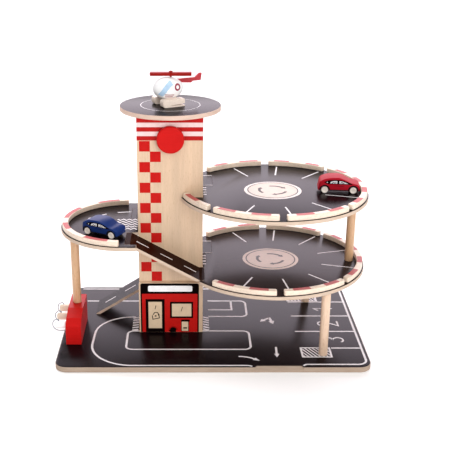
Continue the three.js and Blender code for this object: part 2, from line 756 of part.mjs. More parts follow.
function boredWheel() {
  const bore = axleRadius + seatGap;
  const hub = wheelRadius / 2;
  return turned([[bore, wheelWidth], ...wheelRim(0).reverse(), [hub + wheelDish, 0],
    [hub, wheelDish], [bore, wheelDish], [bore, wheelWidth]].reverse());
}

function car(name, finish, x, y, deckTop, degrees) {
  const group = new THREE.Group();
  group.position.set(x, y, deckTop + seatGap);
  group.rotation.z = degrees * degree;
  place(group, `${name}_body`, carBody(), finish);
  for (const [end, along] of [['front', wheelbase / 2], ['rear', -wheelbase / 2]]) {
    place(group, `${name}_${end}_axle_wheel`, axleWheel(), naturalWood, along, 0, wheelRadius);
    place(group, `${name}_${end}_bored_wheel`, boredWheel(), naturalWood,
      along, -carWidth / 2, wheelRadius);
  }
  garage.add(group);
}

// The red car stands nose to the kerb, the blue one short of the ramp's tab
const redCarReach = kerbInnerRadius - redCarKerbGap - carLength / 2;
car('red_car', redPaint, ...roundDeckPoint(redCarReach, redCarPlaceDegrees), upperDeckTop, redCarDegrees);
car('blue_car', bluePaint, frontRampHeadX - blueCarRampGap,
  leftDeckCentreY - blueCarForwardShare * leftDeckRadius, leftDeckTop, blueCarDegrees);

// Helicopter: egg shaped body between two skids, tail board, and a rotor that spins on its pin
function egg(grow = 0) {
  const half = heliLength / 2 + grow;
  return turned(eggShares.map(([along, out]) => [out * (heliRadius + grow), 2 * along * half]), 24)
    .rotateZ(Math.PI / 2);
}

function heliBody() {
  const pinHole = rod(pinRadius + seatGap, pinDepth + cutOverrun).rotateX(Math.PI / 2);
  return cut(egg(), pinHole.translate(-heliPinSetback, 0, heliRadius - pinDepth));
}

function heliSkid(side) {
  const half = skidLength / 2;
  const shape = new THREE.Shape();
  shape.moveTo(-half, 0);
  shape.lineTo(half - skidNose, 0);
  shape.quadraticCurveTo(half, 0, half, skidNose);
  shape.lineTo(half, skidHeight - skidNose);
  shape.quadraticCurveTo(half, skidHeight, half - skidNose, skidHeight);
  shape.lineTo(-half + skidNose / 2, skidHeight);
  shape.quadraticCurveTo(-half, skidHeight, -half, skidHeight - skidNose / 2);
  shape.lineTo(-half, 2 * skidRunner);
  shape.lineTo(half / 3, skidRunner * 1.2);
  shape.lineTo(half / 3, skidRunner);
  shape.lineTo(-half, skidRunner);
  shape.closePath();
  const block = acrossY(shape, skidWidth, 0, 3).translate(0, side * skidSpread / 2, -heliLift);
  return cut(block, egg(seatGap));
}

function heliTail() {
  const start = -heliLength / 4;
  const end = start - tailLength;
  const shape = polygon([
    [start, 0], [start, tailBoom], [end + tailFin, tailBoom], [end + tailFin / 3, tailFin],
    [end, tailFin], [end + tailFin / 6, 0], [end + tailLength / 3, 0], [end + tailLength / 2.4, -tailBoom / 2],
  ]);
  return cut(acrossY(shape, tailThickness).translate(0, 0, heliRadius * 0.45), egg(seatGap));
}

function heliRotor() {
  const half = rotorLength / 2;
  const shape = roundedRectangle(-half, -rotorWidth / 2, half, rotorWidth / 2, rotorCorner);
  shape.holes.push(circle(0, 0, pinRadius + shaftGap));
  return flatPiece(shape, rotorThickness, 0, 4);
}

function rotorPin() {
  const neck = pinDepth - seatGap + rotorLift + rotorThickness + shaftGap;
  return turned([
    [0, 0], [pinRadius, 0], [pinRadius, neck], [pinHeadRadius, neck],
    [pinHeadRadius, neck + pinHeadHeight / 2], [pinHeadRadius / 2, neck + pinHeadHeight],
    [0, neck + pinHeadHeight],
  ], 16).rotateX(Math.PI / 2);
}

const helicopter = new THREE.Group();
helicopter.position.set(towerCentreX + heliOffset, helipadY, helipadTop + seatGap + heliLift);
helicopter.rotation.z = heliYawDegrees * degree;
place(helicopter, 'heli_body', heliBody(), whitePaint);
place(helicopter, 'heli_tail', heliTail(), redPaint);
place(helicopter, 'heli_skid_left', heliSkid(1), naturalWood);
place(helicopter, 'heli_skid_right', heliSkid(-1), naturalWood);
place(helicopter, 'heli_rotor_pin', rotorPin(), naturalWood, -heliPinSetback, 0,
  heliRadius - pinDepth + seatGap);
const rotor = place(helicopter, 'heli_rotor', heliRotor(), redPaint, -heliPinSetback, 0,
  heliRadius + rotorLift);
rotor.rotation.z = -heliYawDegrees * degree;
garage.add(helicopter);

export default garage;
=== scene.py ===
"""A wooden toy parking garage with ramps, a lift tower, a helipad, a fuel pump, two cars and a helicopter.
Lengths are in metres, in the frame's axes. Sizes typed here are millimetres times MM."""

import json
import math

import bmesh
import bpy
from mathutils import Matrix, Vector
from mathutils.bvhtree import BVHTree


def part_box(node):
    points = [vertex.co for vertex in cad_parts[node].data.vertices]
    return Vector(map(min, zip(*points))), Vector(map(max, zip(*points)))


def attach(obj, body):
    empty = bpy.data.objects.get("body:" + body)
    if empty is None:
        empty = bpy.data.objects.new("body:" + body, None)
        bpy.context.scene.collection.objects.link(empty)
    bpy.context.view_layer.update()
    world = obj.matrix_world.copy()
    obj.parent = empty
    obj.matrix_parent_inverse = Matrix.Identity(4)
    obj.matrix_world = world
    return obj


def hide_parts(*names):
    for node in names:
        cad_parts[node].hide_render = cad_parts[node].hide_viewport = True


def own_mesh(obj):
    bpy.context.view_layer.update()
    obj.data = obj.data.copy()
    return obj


MM = 0.001

# The gap between one printed layer and the next, and the rounding of a lacquered board's edges
INK = 0.12 * MM
BOARD_EDGE = 0.6 * MM

# The play round a ramp's tab, the depth of its seat, and how far a cutter reaches past an edge
SLIDE = 0.6 * MM
SEAT = 3.3 * MM
OVER = 3 * MM

# Steps of a board's full circle, steps of a printed one and of the knob, and the angle of a sharp edge
FINE = 160
PRINT_STEPS = 96
SHARP = 32

X, Y, UP = (Vector(axis) for axis in ((1, 0, 0), (0, 1, 0), (0, 0, 1)))

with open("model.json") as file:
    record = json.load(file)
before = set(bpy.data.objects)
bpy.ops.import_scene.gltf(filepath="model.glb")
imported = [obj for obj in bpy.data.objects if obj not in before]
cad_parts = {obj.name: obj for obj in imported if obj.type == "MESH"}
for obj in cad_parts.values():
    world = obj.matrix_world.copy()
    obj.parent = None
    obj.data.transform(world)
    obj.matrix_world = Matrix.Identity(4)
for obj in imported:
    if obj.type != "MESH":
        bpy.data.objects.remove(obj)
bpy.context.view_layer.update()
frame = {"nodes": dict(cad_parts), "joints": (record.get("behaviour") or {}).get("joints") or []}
nodes = frame["nodes"]
joints = {gap_shade["name"]: gap_shade for gap_shade in frame["joints"]}


# Camera, lights, world and floor

# The name, place, target height, size and power of each light, in metres and watts
LIGHTS = [
    ("key", (-0.5, 0.9, 2.2), 0.15, 1.2, 29),
    ("fill", (0.6, -2.0, 1.6), 0.2, 2.0, 22.5),
    ("low_fill", (1.2, -2.0, 0.45), 0.2, 1.4, 14),
]


def make_camera():
    place = (-45.64 * MM, -1545.2 * MM, 774.82 * MM)
    pitch = math.radians(69.96)
    data = bpy.data.cameras.new("camera")
    data.sensor_width = 36
    data.lens = 70.39
    data.shift_x = 0.0856
    data.clip_end = 20
    camera = bpy.data.objects.new("camera", data)
    camera.location = place
    camera.rotation_euler = (pitch, 0, 0)
    bpy.context.collection.objects.link(camera)
    bpy.context.scene.camera = camera


def make_light(name, place, target_height, size, power):
    data = bpy.data.lights.new(name, "AREA")
    data.shape = "DISK"
    data.size = size
    data.energy = power
    way = Vector((0, 0, target_height)) - Vector(place)
    light = bpy.data.objects.new(name, data)
    light.location = place
    light.rotation_euler = way.to_track_quat("-Z", "Y").to_euler()
    bpy.context.collection.objects.link(light)


def make_world():
    """A pale studio with a wide, slightly violet softbox low behind the toy, which the lacquer mirrors."""
    violet, pale, pale_strength = (1, 0.86, 0.99, 1), (1, 0.985, 0.985, 1), 0.66
    world = bpy.data.worlds.new("studio")
    bpy.context.scene.world = world
    world.use_nodes = True
    world.node_tree.nodes.clear()
    studio = Nodes(world.node_tree)
    glow = studio.step("Z", start=0.2, end=0.5, low=1.9, high=4.4)
    behind = studio.step("Y", start=0.45, end=0.85, low=0, high=1)
    over_floor = studio.step("Z", start=0.0, end=0.16, low=0, high=1)
    under_top = studio.step("Z", start=0.46, end=0.64, low=1, high=0)
    for limit in (behind, over_floor, under_top):
        glow = studio.math("MULTIPLY", glow, limit)
    both = studio.node("ShaderNodeAddShader")
    for socket, color, strength in zip(both.inputs, (violet, pale), (glow, pale_strength)):
        light = studio.node("ShaderNodeBackground")
        light.inputs["Color"].default_value = color
        studio.feed(strength, light.inputs["Strength"])
        studio.feed(light.outputs[0], socket)
    out = studio.node("ShaderNodeOutputWorld")
    studio.feed(both.outputs[0], out.inputs["Surface"])


def make_floor():
    reach, drop = 8, 0.2 * MM
    bm = bmesh.new()
    bmesh.ops.create_grid(bm, x_segments=4, y_segments=4, size=reach)
    floor = add_object("floor", bm, [floor_finish()])
    floor.location.z = -drop


# Materials


class Nodes:
    """A node tree, with short names for the nodes that the world and the finishes share."""

    def __init__(self, tree):
        self.tree = tree
        self.place = self.node("ShaderNodeTexCoord")

    def node(self, kind, **values):
        node = self.tree.nodes.new(kind)
        for key, value in values.items():
            setattr(node, key, value)
        return node

    def feed(self, value, socket):
        """Links a node's output to a socket, or sets the socket to a plain value."""
        if isinstance(value, (int, float, tuple)):
            socket.default_value = value
        else:
            self.tree.links.new(value, socket)

    def part(self, output, axis):
        """One part of a coordinate output."""
        split = self.node("ShaderNodeSeparateXYZ")
        self.feed(self.place.outputs[output], split.inputs[0])
        return split.outputs[axis]

    def math(self, operation, first, second=0.0):
        node = self.node("ShaderNodeMath", operation=operation)
        self.feed(first, node.inputs[0])
        self.feed(second, node.inputs[1])
        return node.outputs[0]

    def mapped(self, value, low, high, **values):
        node = self.node("ShaderNodeMapRange", **values)
        node.inputs["To Min"].default_value = low
        node.inputs["To Max"].default_value = high
        self.feed(value, node.inputs["Value"])
        return node

    def step(self, axis, start, end, low, high):
        """A soft step along an axis of the view's direction."""
        node = self.mapped(self.part("Generated", axis), low, high, interpolation_type="SMOOTHSTEP")
        node.inputs["From Min"].default_value = start
        node.inputs["From Max"].default_value = end
        return node.outputs[0]


class Shader(Nodes):
    """A node material round one Principled shader."""

    def __init__(self, name, color, roughness, **sockets):
        self.material = bpy.data.materials.new(name)
        self.material.use_nodes = True
        super().__init__(self.material.node_tree)
        self.sockets = self.tree.nodes["Principled BSDF"].inputs
        self.sockets["Base Color"].default_value = (*color, 1)
        self.sockets["Roughness"].default_value = roughness
        for socket, value in sockets.items():
            self.sockets[socket.replace("_", " ")].default_value = value

    def noise(self, scale, stretch=(1, 1, 1), detail=4, distortion=0):
        mapping = self.node("ShaderNodeMapping")
        mapping.inputs["Scale"].default_value = stretch
        self.feed(self.place.outputs["Object"], mapping.inputs["Vector"])
        noise = self.node("ShaderNodeTexNoise")
        for socket, value in (("Scale", scale), ("Detail", detail), ("Distortion", distortion)):
            noise.inputs[socket].default_value = value
        self.feed(mapping.outputs["Vector"], noise.inputs["Vector"])
        return noise.outputs["Fac"]

    def ramp(self, factor, *stops):
        ramp = self.node("ShaderNodeValToRGB")
        elements = ramp.color_ramp.elements
        for position, _ in stops[1:-1]:
            elements.new(position)
        for element, (position, color) in zip(elements, stops):
            element.position = position
            element.color = (*color, 1)
        self.feed(factor, ramp.inputs["Fac"])
        return ramp.outputs["Color"]

    def mix(self, factor, first, second, blend="MIX"):
        mix = self.node("ShaderNodeMix", data_type="RGBA", blend_type=blend)
        self.feed(factor, mix.inputs["Factor"])
        self.feed(first, mix.inputs[6])
        self.feed(second, mix.inputs[7])
        return mix.outputs[2]

    def color(self, source):
        self.feed(source, self.sockets["Base Color"])

    def rough(self, factor, low, high):
        self.feed(self.mapped(factor, low, high).outputs[0], self.sockets["Roughness"])

    def bump(self, height, depth, strength):
        bump = self.node("ShaderNodeBump")
        bump.inputs["Distance"].default_value = depth
        bump.inputs["Strength"].default_value = strength
        self.feed(height, bump.inputs["Height"])
        self.feed(bump.outputs["Normal"], self.sockets["Normal"])


def shade(color, share):
    return tuple(channel * share for channel in color)


def wood(name, grain, color=(0.83, 0.62, 0.40), gloss=0.42, depth=1.0):
    """Clear-coated beech: long fibres, broad growth bands and short dark flecks along the grain."""
    finish = Shader(name, color, gloss, Coat_Weight=0.15, Coat_Roughness=0.25)
    along = tuple(0.06 if axis == grain else 1.0 for axis in "XYZ")
    flecked = tuple(0.16 if axis == grain else 1.0 for axis in "XYZ")
    fibre = finish.noise(scale=420, stretch=along, detail=6)
    band = finish.noise(scale=38, stretch=along, detail=3, distortion=0.8)
    fleck = finish.noise(scale=900, stretch=flecked, detail=2)
    tone = finish.ramp(band, (0.3, shade(color, 0.9)), (0.52, color), (0.75, shade(color, 1.08)))
    fine = finish.ramp(fibre, (0.3, (0.86, 0.84, 0.82)), (0.6, (1, 1, 1)))
    spots = finish.ramp(fleck, (0.30, (0.72, 0.62, 0.52)), (0.40, (1, 1, 1)))
    body = finish.mix(depth, tone, fine, "MULTIPLY")
    finish.color(finish.mix(0.7 * depth, body, spots, "MULTIPLY"))
    finish.rough(fibre, gloss - 0.06, gloss + 0.1)
    finish.bump(fibre, depth=0.05 * MM, strength=0.5)
    return finish.material


def paint(name, color, gloss=0.3, ior=1.25):
    """Satin lacquer on wood: the grain telegraphs through a little and the tone drifts."""
    finish = Shader(name, color, gloss, IOR=ior)
    drift = finish.noise(scale=16, detail=3)
    grain = finish.noise(scale=300, stretch=(0.08, 1, 1), detail=5)
    tone = finish.ramp(drift, (0.3, shade(color, 0.9)), (0.7, shade(color, 1.06)))
    fine = finish.ramp(grain, (0.3, (0.93, 0.93, 0.93)), (0.65, (1, 1, 1)))
    finish.color(finish.mix(1.0, tone, fine, "MULTIPLY"))
    finish.rough(drift, gloss - 0.05, gloss + 0.07)
    finish.bump(grain, depth=0.03 * MM, strength=0.35)
    return finish.material


def ply(name, slope_limit=0.9, black=(0.005, 0.002, 0.003), edge=(0.65, 0.51, 0.40), ior=1.15):
    """A plywood board: black lacquer on the faces that look up, pale layered edges and a bare underside."""
    veneer, waviness = 1.9 * MM, 0.8
    lacquer_rough, bare_rough, rough_drift = 0.23, 0.54, 0.05
    finish = Shader(name, black, lacquer_rough, IOR=ior)
    drift = finish.noise(scale=9, detail=2)
    speck = finish.noise(scale=900, detail=2)
    lacquer = finish.ramp(drift, (0.25, shade(black, 0.8)), (0.75, shade(black, 1.35)))
    dust = finish.ramp(speck, (0.66, (0, 0, 0)), (0.80, (0.02, 0.016, 0.018)))
    top = finish.mix(1.0, lacquer, dust, "ADD")
    wave = finish.math("SINE", finish.math("MULTIPLY", finish.part("Object", "Z"), 2 * math.pi / veneer))
    waver = finish.math("MULTIPLY", finish.noise(scale=60, stretch=(1, 1, 6)), waviness)
    sides = finish.ramp(finish.math("ADD", wave, waver), (0.1, shade(edge, 0.86)), (0.8, edge))
    grain = finish.noise(scale=500, stretch=(0.1, 0.1, 1), detail=4)
    fine = finish.ramp(grain, (0.3, (0.88, 0.86, 0.84)), (0.6, (1, 1, 1)))
    side = finish.mix(1.0, sides, fine, "MULTIPLY")
    flat = finish.math("GREATER_THAN", finish.part("Normal", "Z"), slope_limit)
    finish.color(finish.mix(flat, side, top))
    smoother = finish.math("MULTIPLY", flat, lacquer_rough - bare_rough)
    drifting = finish.math("MULTIPLY", drift, rough_drift)
    rough = finish.math("ADD", finish.math("ADD", smoother, bare_rough), drifting)
    finish.feed(rough, finish.sockets["Roughness"])
    finish.bump(speck, depth=0.01 * MM, strength=0.25)
    return finish.material


def ink(name, color, gloss=0.35, ior=1.25):
    """A screen-printed layer, a touch uneven where it was pressed on."""
    finish = Shader(name, color, gloss, IOR=ior)
    patch = finish.noise(scale=120, detail=3)
    finish.color(finish.ramp(patch, (0.28, shade(color, 0.9)), (0.6, color)))
    finish.rough(patch, gloss - 0.05, gloss + 0.1)
    finish.bump(patch, depth=0.02 * MM, strength=0.3)
    return finish.material


def fibre(name, color):
    """Round cord or sleeve with a fine twill over it."""
    finish = Shader(name, color, 0.75, Sheen_Weight=0.3)
    weave = finish.noise(scale=2600, detail=2)
    finish.color(finish.ramp(weave, (0.35, shade(color, 0.75)), (0.65, color)))
    finish.rough(weave, 0.6, 0.85)
    finish.bump(weave, depth=0.08 * MM, strength=0.6)
    return finish.material


def floor_finish():
    """The studio floor, with a faint glow that keeps it white in the toy's own shade."""
    white = (1, 1, 1, 1)
    finish = Shader("studio_floor", (0.93, 0.925, 0.925), 0.55, Emission_Color=white, Emission_Strength=0.12)
    drift = finish.noise(scale=1.2, detail=2)
    finish.color(finish.ramp(drift, (0.3, (0.925, 0.92, 0.92)), (0.7, (0.935, 0.93, 0.93))))
    return finish.material


WOOD_Y = wood("beech_along_y", "Y")
WOOD_Z = wood("beech_along_z", "Z")
PALE_WOOD = wood("birch", "X", (0.86, 0.71, 0.57))
POST_WOOD = wood("turned_beech", "Z", (0.78, 0.565, 0.41), 0.36)
GOLDEN_POST_WOOD = wood("golden_turned_beech", "Z", (0.65, 0.40, 0.225), 0.36)
TOWER_WOOD = wood("tower_veneer", "Z", (0.67, 0.478, 0.318), 0.34, 0.55)
SKID_WOOD = wood("skid_birch", "X", (0.97, 0.82, 0.70), 0.42, 0.5)
WHEEL_WOOD = wood("wheel_beech", "Z", (0.96, 0.87, 0.79), 0.42, 0.45)
BOARD = ply("lacquered_board")
HELIPAD_BOARD = ply("lacquered_helipad", edge=(0.74, 0.55, 0.45))
BASE_BOARD = ply("lacquered_base", edge=(0.43, 0.33, 0.255))
SLOPE = ply("lacquered_ramp", 0.45)
# The lower deck's lacquer is a lighter brown black: a painted reflection of the upper deck's bare underside.
LOWER_BOARD_PAINTED_REFLECTION = ply("lacquered_lower_board_painted_reflection", black=(0.022, 0.013, 0.013))
# The front ramp's lacquer is a brown black: a painted reflection of the tower's wood and red checks.
FRONT_SLOPE_PAINTED_REFLECTION = ply("lacquered_front_ramp_painted_reflection", 0.45, (0.022, 0.005, 0.002), ior=1.05)
RED = paint("red_lacquer", (0.53, 0.009, 0.008), 0.3, 1.15)
CAR_RED = paint("car_red", (0.42, 0.010, 0.022), 0.32, 1.1)
CAR_BLUE = paint("car_blue", (0.009, 0.029, 0.140), 0.32, 1.15)
WHITE = paint("white_lacquer", (0.96, 0.96, 0.955))
TAIL_RED = paint("tail_red", (0.50, 0.055, 0.065), 0.4, 1.12)
ROTOR_RED = paint("rotor_red", (0.32, 0.011, 0.008), 0.4, 1.12)
# A dark paint for the cars' printed seats and lines, and for painted shade in and round their wheel wells.
DARK_PRINT_AND_PAINTED_SHADE = paint("dark_print_and_painted_shade", (0.010, 0.008, 0.010), 0.5, 1.1)
WHITE_INK = ink("white_ink", (0.77, 0.74, 0.75))
SIGN_INK = ink("sign_ink", (0.97, 0.97, 0.98))
PANE_INK = ink("pane_ink", (0.70, 0.53, 0.36))
BLACK_INK = ink("black_ink", (0.004, 0.002, 0.002), 0.45, 1.04)
# A matte dark ink for painted shade in the gap before a ramp's landing.
GAP_SHADE_INK = ink("painted_gap_shade", (0.012, 0.007, 0.008), 0.85, 1.02)
RED_INK = ink("red_ink", (0.52, 0.010, 0.008), 0.35, 1.15)
# A darker red for the tower's stripes than for its checks: painted shade of the helipad above them.
STRIPE_RED_INK_PAINTED_SHADE = ink("stripe_red_ink_painted_shade", (0.44, 0.012, 0.012), 0.35, 1.15)
STRIPE_INK = ink("pale_stripe_ink", (0.81, 0.61, 0.59))
KERB_INK = ink("kerb_red_ink", (0.48, 0.08, 0.075))
GREY_INK = ink("grey_ink", (0.05, 0.036, 0.030))
PAD_INK = ink("roundabout_ink", (0.66, 0.53, 0.45))
RIM_INK = ink("roundabout_rim_ink", (0.76, 0.68, 0.63))
GLASS_INK = ink("window_ink", (0.72, 0.72, 0.74), 0.2)
SKY_INK = ink("windscreen_ink", (0.46, 0.64, 0.82), 0.2)
PLUM_INK = ink("plum_ink", (0.32, 0.04, 0.07))
HOSE = fibre("hose_sleeve", (0.27, 0.30, 0.34))
CORD = fibre("lift_cord_fibre", (0.78, 0.74, 0.66))


# Outlines


def arc(centre, radius, start, end, steps):
    """Points of an arc in degrees, both ends included."""
    points = []
    for i in range(steps + 1):
        angle = math.radians(start + (end - start) * i / steps)
        points.append((centre[0] + radius * math.cos(angle), centre[1] + radius * math.sin(angle)))
    return points


def circle(centre, radius, steps=PRINT_STEPS):
    return arc(centre, radius, 0, 360, steps)[:-1]


def oblong(left, low, right, high):
    return [(left, low), (right, low), (right, high), (left, high)]


def rounded(left, low, right, high, corner, steps=8):
    """An oblong with round corners, from the lower right one on."""
    inner = oblong(left + corner, low + corner, right - corner, high - corner)
    points = []
    for i, centre in enumerate(inner[1:] + inner[:1]):
        points += arc(centre, corner, 90 * i - 90, 90 * i, steps)
    return points


def strip(points, width, closed=False):
    """The outlines of a painted line along points, one quad for each stretch, mitred."""
    sharpest_mitre = 0.5
    count = len(points)
    sides = []
    for i, (x, y) in enumerate(points):
        before = points[i - 1] if closed or i else None
        after = points[(i + 1) % count] if closed or i < count - 1 else None
        ways = []
        if before is not None:
            ways.append(Vector((x - before[0], y - before[1])).normalized())
        if after is not None:
            ways.append(Vector((after[0] - x, after[1] - y)).normalized())
        way = sum(ways, Vector((0, 0))).normalized()
        normal = Vector((-way.y, way.x))
        reach = width / 2 / max(sharpest_mitre, normal.dot(Vector((-ways[0].y, ways[0].x))))
        out, up = normal.x * reach, normal.y * reach
        sides.append(((x + out, y + up), (x - out, y - up)))
    quads = []
    for i in range(count if closed else count - 1):
        first, second = sides[i], sides[(i + 1) % count]
        quads.append([first[0], first[1], second[1], second[0]])
    return quads


def arrow(points, width, head, tall):
    """A painted arrow along points, with a wide head after the last."""
    tip, before = Vector(points[-1]), Vector(points[-2])
    way = (tip - before).normalized()
    side = Vector((-way.y, way.x))
    base = [tip + side * head / 2, tip - side * head / 2, tip + way * tall]
    return strip(points, width) + [[tuple(corner) for corner in base]]


def smooth_line(corners, steps):
    """A smooth curve through all corners but the first and the last, which only steer its ends."""
    line = []
    for a, b, c, d in zip(corners, corners[1:], corners[2:], corners[3:]):
        bend, twist = 2 * a - 5 * b + 4 * c - d, 3 * b - a - 3 * c + d
        for i in range(steps):
            t = i / steps
            line.append(0.5 * (2 * b + (c - a) * t + bend * t * t + twist * t ** 3))
    return line + [corners[-2]]


# Meshes


def add_object(name, bm, materials=()):
    mesh = bpy.data.meshes.new(name)
    bm.to_mesh(mesh)
    bm.free()
    for material in materials:
        mesh.materials.append(material)
    piece = bpy.data.objects.new(name, mesh)
    bpy.context.collection.objects.link(piece)
    return piece


def helper(bm):
    """An object that is thrown away again."""
    bmesh.ops.recalc_face_normals(bm, faces=bm.faces)
    return add_object("helper", bm)


def closed_piece(name, bm, material, body, smooth):
    """A piece with its faces turned outwards, smooth up to an angle."""
    bmesh.ops.recalc_face_normals(bm, faces=bm.faces)
    piece = add_object(name, bm, [material])
    crisp(piece, smooth)
    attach(piece, body)
    return piece


def crisp(piece, angle=SHARP):
    piece.data.shade_smooth()
    piece.data.set_sharp_from_angle(angle=math.radians(angle))


def bake(piece):
    """Applies the modifiers, so that the mesh is final."""
    bpy.context.view_layer.update()
    graph = bpy.context.evaluated_depsgraph_get()
    mesh = bpy.data.meshes.new_from_object(piece.evaluated_get(graph))
    piece.modifiers.clear()
    piece.data = mesh


def soften(piece, width, segments, angle=35):
    """Rounds the hard edges a little, as sanding and lacquer do."""
    bevel = piece.modifiers.new("round", "BEVEL")
    bevel.width = width
    bevel.segments = segments
    bevel.limit_method = "ANGLE"
    bevel.angle_limit = math.radians(angle)
    bevel.harden_normals = False


def combine(piece, others, operation):
    """Cuts the others out of a piece or keeps what they share with it, and throws them away."""
    for other in others:
        boolean = piece.modifiers.new("combine", "BOOLEAN")
        boolean.operation = operation
        boolean.solver = "EXACT"
        boolean.object = other
    bake(piece)
    for other in others:
        bpy.data.objects.remove(other)


def prism(outline, turn, low, high):
    """A block with one outline all the way from low to high. The turn puts its lengths in their axes."""
    bm = bmesh.new()
    face = bm.faces.new([bm.verts.new(turn(a, b, low)) for a, b in outline])
    lifted = bmesh.ops.extrude_face_region(bm, geom=[face])
    verts = [item for item in lifted["geom"] if isinstance(item, bmesh.types.BMVert)]
    bmesh.ops.translate(bm, vec=Vector(turn(0, 0, high - low)), verts=verts)
    bmesh.ops.recalc_face_normals(bm, faces=bm.faces)
    return bm


def upright(a, b, height):
    return a, b, height


def sideways(a, b, height):
    return a, height, b


def board(name, outline, low, high, material, edge=BOARD_EDGE, segments=3):
    """A board of the garage's body with rounded edges."""
    piece = add_object(name, prism(outline, upright, low, high), [material])
    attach(piece, "garage")
    soften(piece, edge, segments)
    bake(piece)
    crisp(piece)
    return piece


def round_row(bm, middle, across, other, radius, steps):
    """A ring of vertices."""
    row = []
    for i in range(steps):
        angle = 2 * math.pi * i / steps
        row.append(bm.verts.new(middle + (across * math.cos(angle) + other * math.sin(angle)) * radius))
    return row


def skin(bm, rows, capped=False):
    """Faces between neighbouring rings of vertices. A ring of one vertex is a tip."""
    if capped:
        bm.faces.new(rows[0])
        bm.faces.new(rows[-1])
    for first, second in zip(rows, rows[1:]):
        steps = max(len(first), len(second))
        for i in range(steps):
            j = (i + 1) % steps
            corners = [first[i % len(first)], first[j % len(first)]]
            corners += [second[j % len(second)], second[i % len(second)]]
            unique = list(dict.fromkeys(corners))
            if len(unique) > 2:
                bm.faces.new(unique)


def lathe(name, outline, centre, axis, material, body="garage", steps=48, smooth=40):
    """Turns an outline of (radius, distance along the axis) round a line through centre."""
    axis = Vector(axis).normalized()
    side = axis.orthogonal().normalized()
    other = axis.cross(side)
    bm = bmesh.new()
    rows = []
    for radius, along in outline:
        middle = Vector(centre) + axis * along
        rows.append(round_row(bm, middle, side, other, radius, steps) if radius else [bm.verts.new(middle)])
    skin(bm, rows)
    return closed_piece(name, bm, material, body, smooth)


def add_print(name, bm, way, material, slot):
    """An object for printed shapes, with their faces turned towards the way they are seen."""
    bm.normal_update()
    for face in bm.faces:
        if face.normal.dot(way) < 0:
            face.normal_flip()
    piece = add_object(name, bm, [material])
    return piece


def printed(name, shapes, height, material, slot="white_paint", turn=upright, body="garage"):
    """Flat printed shapes a hair off a surface, facing up or to the front."""
    bm = bmesh.new()
    for shape in shapes:
        bm.faces.new([bm.verts.new(turn(a, b, height)) for a, b in shape])
    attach(add_print(name, bm, UP if turn is upright else -Y, material, slot), body)


def laid(name, shapes, tree, flank, grid, lift, material, slot):
    """Printed shapes laid on one flank of a rounded body. Their lengths are along its nose and up.
    The flank is the body's centre, its nose's way and its own way out. The grid is how finely the
    shapes are divided, as a number of rounds and a longest edge."""
    centre, forward, out = flank
    rounds, longest = grid
    away = 60 * MM
    bm = bmesh.new()
    for shape in shapes:
        bm.faces.new([bm.verts.new((a, 0, b)) for a, b in shape])
    bmesh.ops.triangulate(bm, faces=bm.faces)
    for _ in range(rounds):
        long_edges = [edge for edge in bm.edges if edge.calc_length() > longest]
        bmesh.ops.subdivide_edges(bm, edges=long_edges, cuts=1)
        bmesh.ops.triangulate(bm, faces=[face for face in bm.faces if len(face.verts) > 3])
    for vert in bm.verts:
        start = centre + forward * vert.co.x + UP * vert.co.z + out * away
        spot, normal, _, _ = tree.ray_cast(start, -out)
        if spot is not None:
            vert.co = spot + normal * lift
    piece = add_print(name, bm, out, material, slot)
    piece.data.shade_smooth()
    return piece


def in_mm(shapes):
    return [[(a * MM, b * MM) for a, b in shape] for shape in shapes]


def tree_of(piece):
    return BVHTree.FromObject(piece, bpy.context.evaluated_depsgraph_get())


def dress(node, material, edge=0.5 * MM, segments=2):
    """Keeps a CAD node and gives it a finish and slightly rounded edges."""
    piece = nodes[node]
    piece.data.materials.clear()
    piece.data.materials.append(material)
    soften(piece, edge, segments)


def stand_in(node, slot):
    """Shows a piece instead of a CAD node."""
    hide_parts(node)


def spread(node):
    """Lowest corner, highest corner and middle of a CAD node."""
    low, high = (Vector(corner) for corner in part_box(node))
    return low, high, (low + high) / 2


# Base board


def build_base():
    low, high, _ = spread("base_board")
    corner, corner_steps, edge = 22 * MM, 16, 0.8 * MM
    outline = rounded(low.x, low.y, high.x, high.y, corner, corner_steps)
    base = board("base_board_lacquered", outline, low.z, high.z, BASE_BOARD, edge)
    cut_entry(base, low.y, high.z)
    stand_in("base_board", "black_lacquer")
    print_base(low.y, high.z + INK)


def cut_entry(base, front, top):
    """The sloping entry in the front edge."""
    middle, top_half, foot_half, run, drop = (n * MM for n in (116, 39, 43, 5.5, 5))
    over_half = foot_half + OVER * (foot_half - top_half) / run
    bm = bmesh.new()
    for along, half in ((run, top_half), (-OVER, over_half)):
        for x in (middle - half, middle + half):
            for z in (top - drop / run * (run - along), top + OVER):
                bm.verts.new((x, front + along, z))
    bmesh.ops.convex_hull(bm, input=bm.verts)
    combine(base, [helper(bm)], "DIFFERENCE")
    crisp(base)


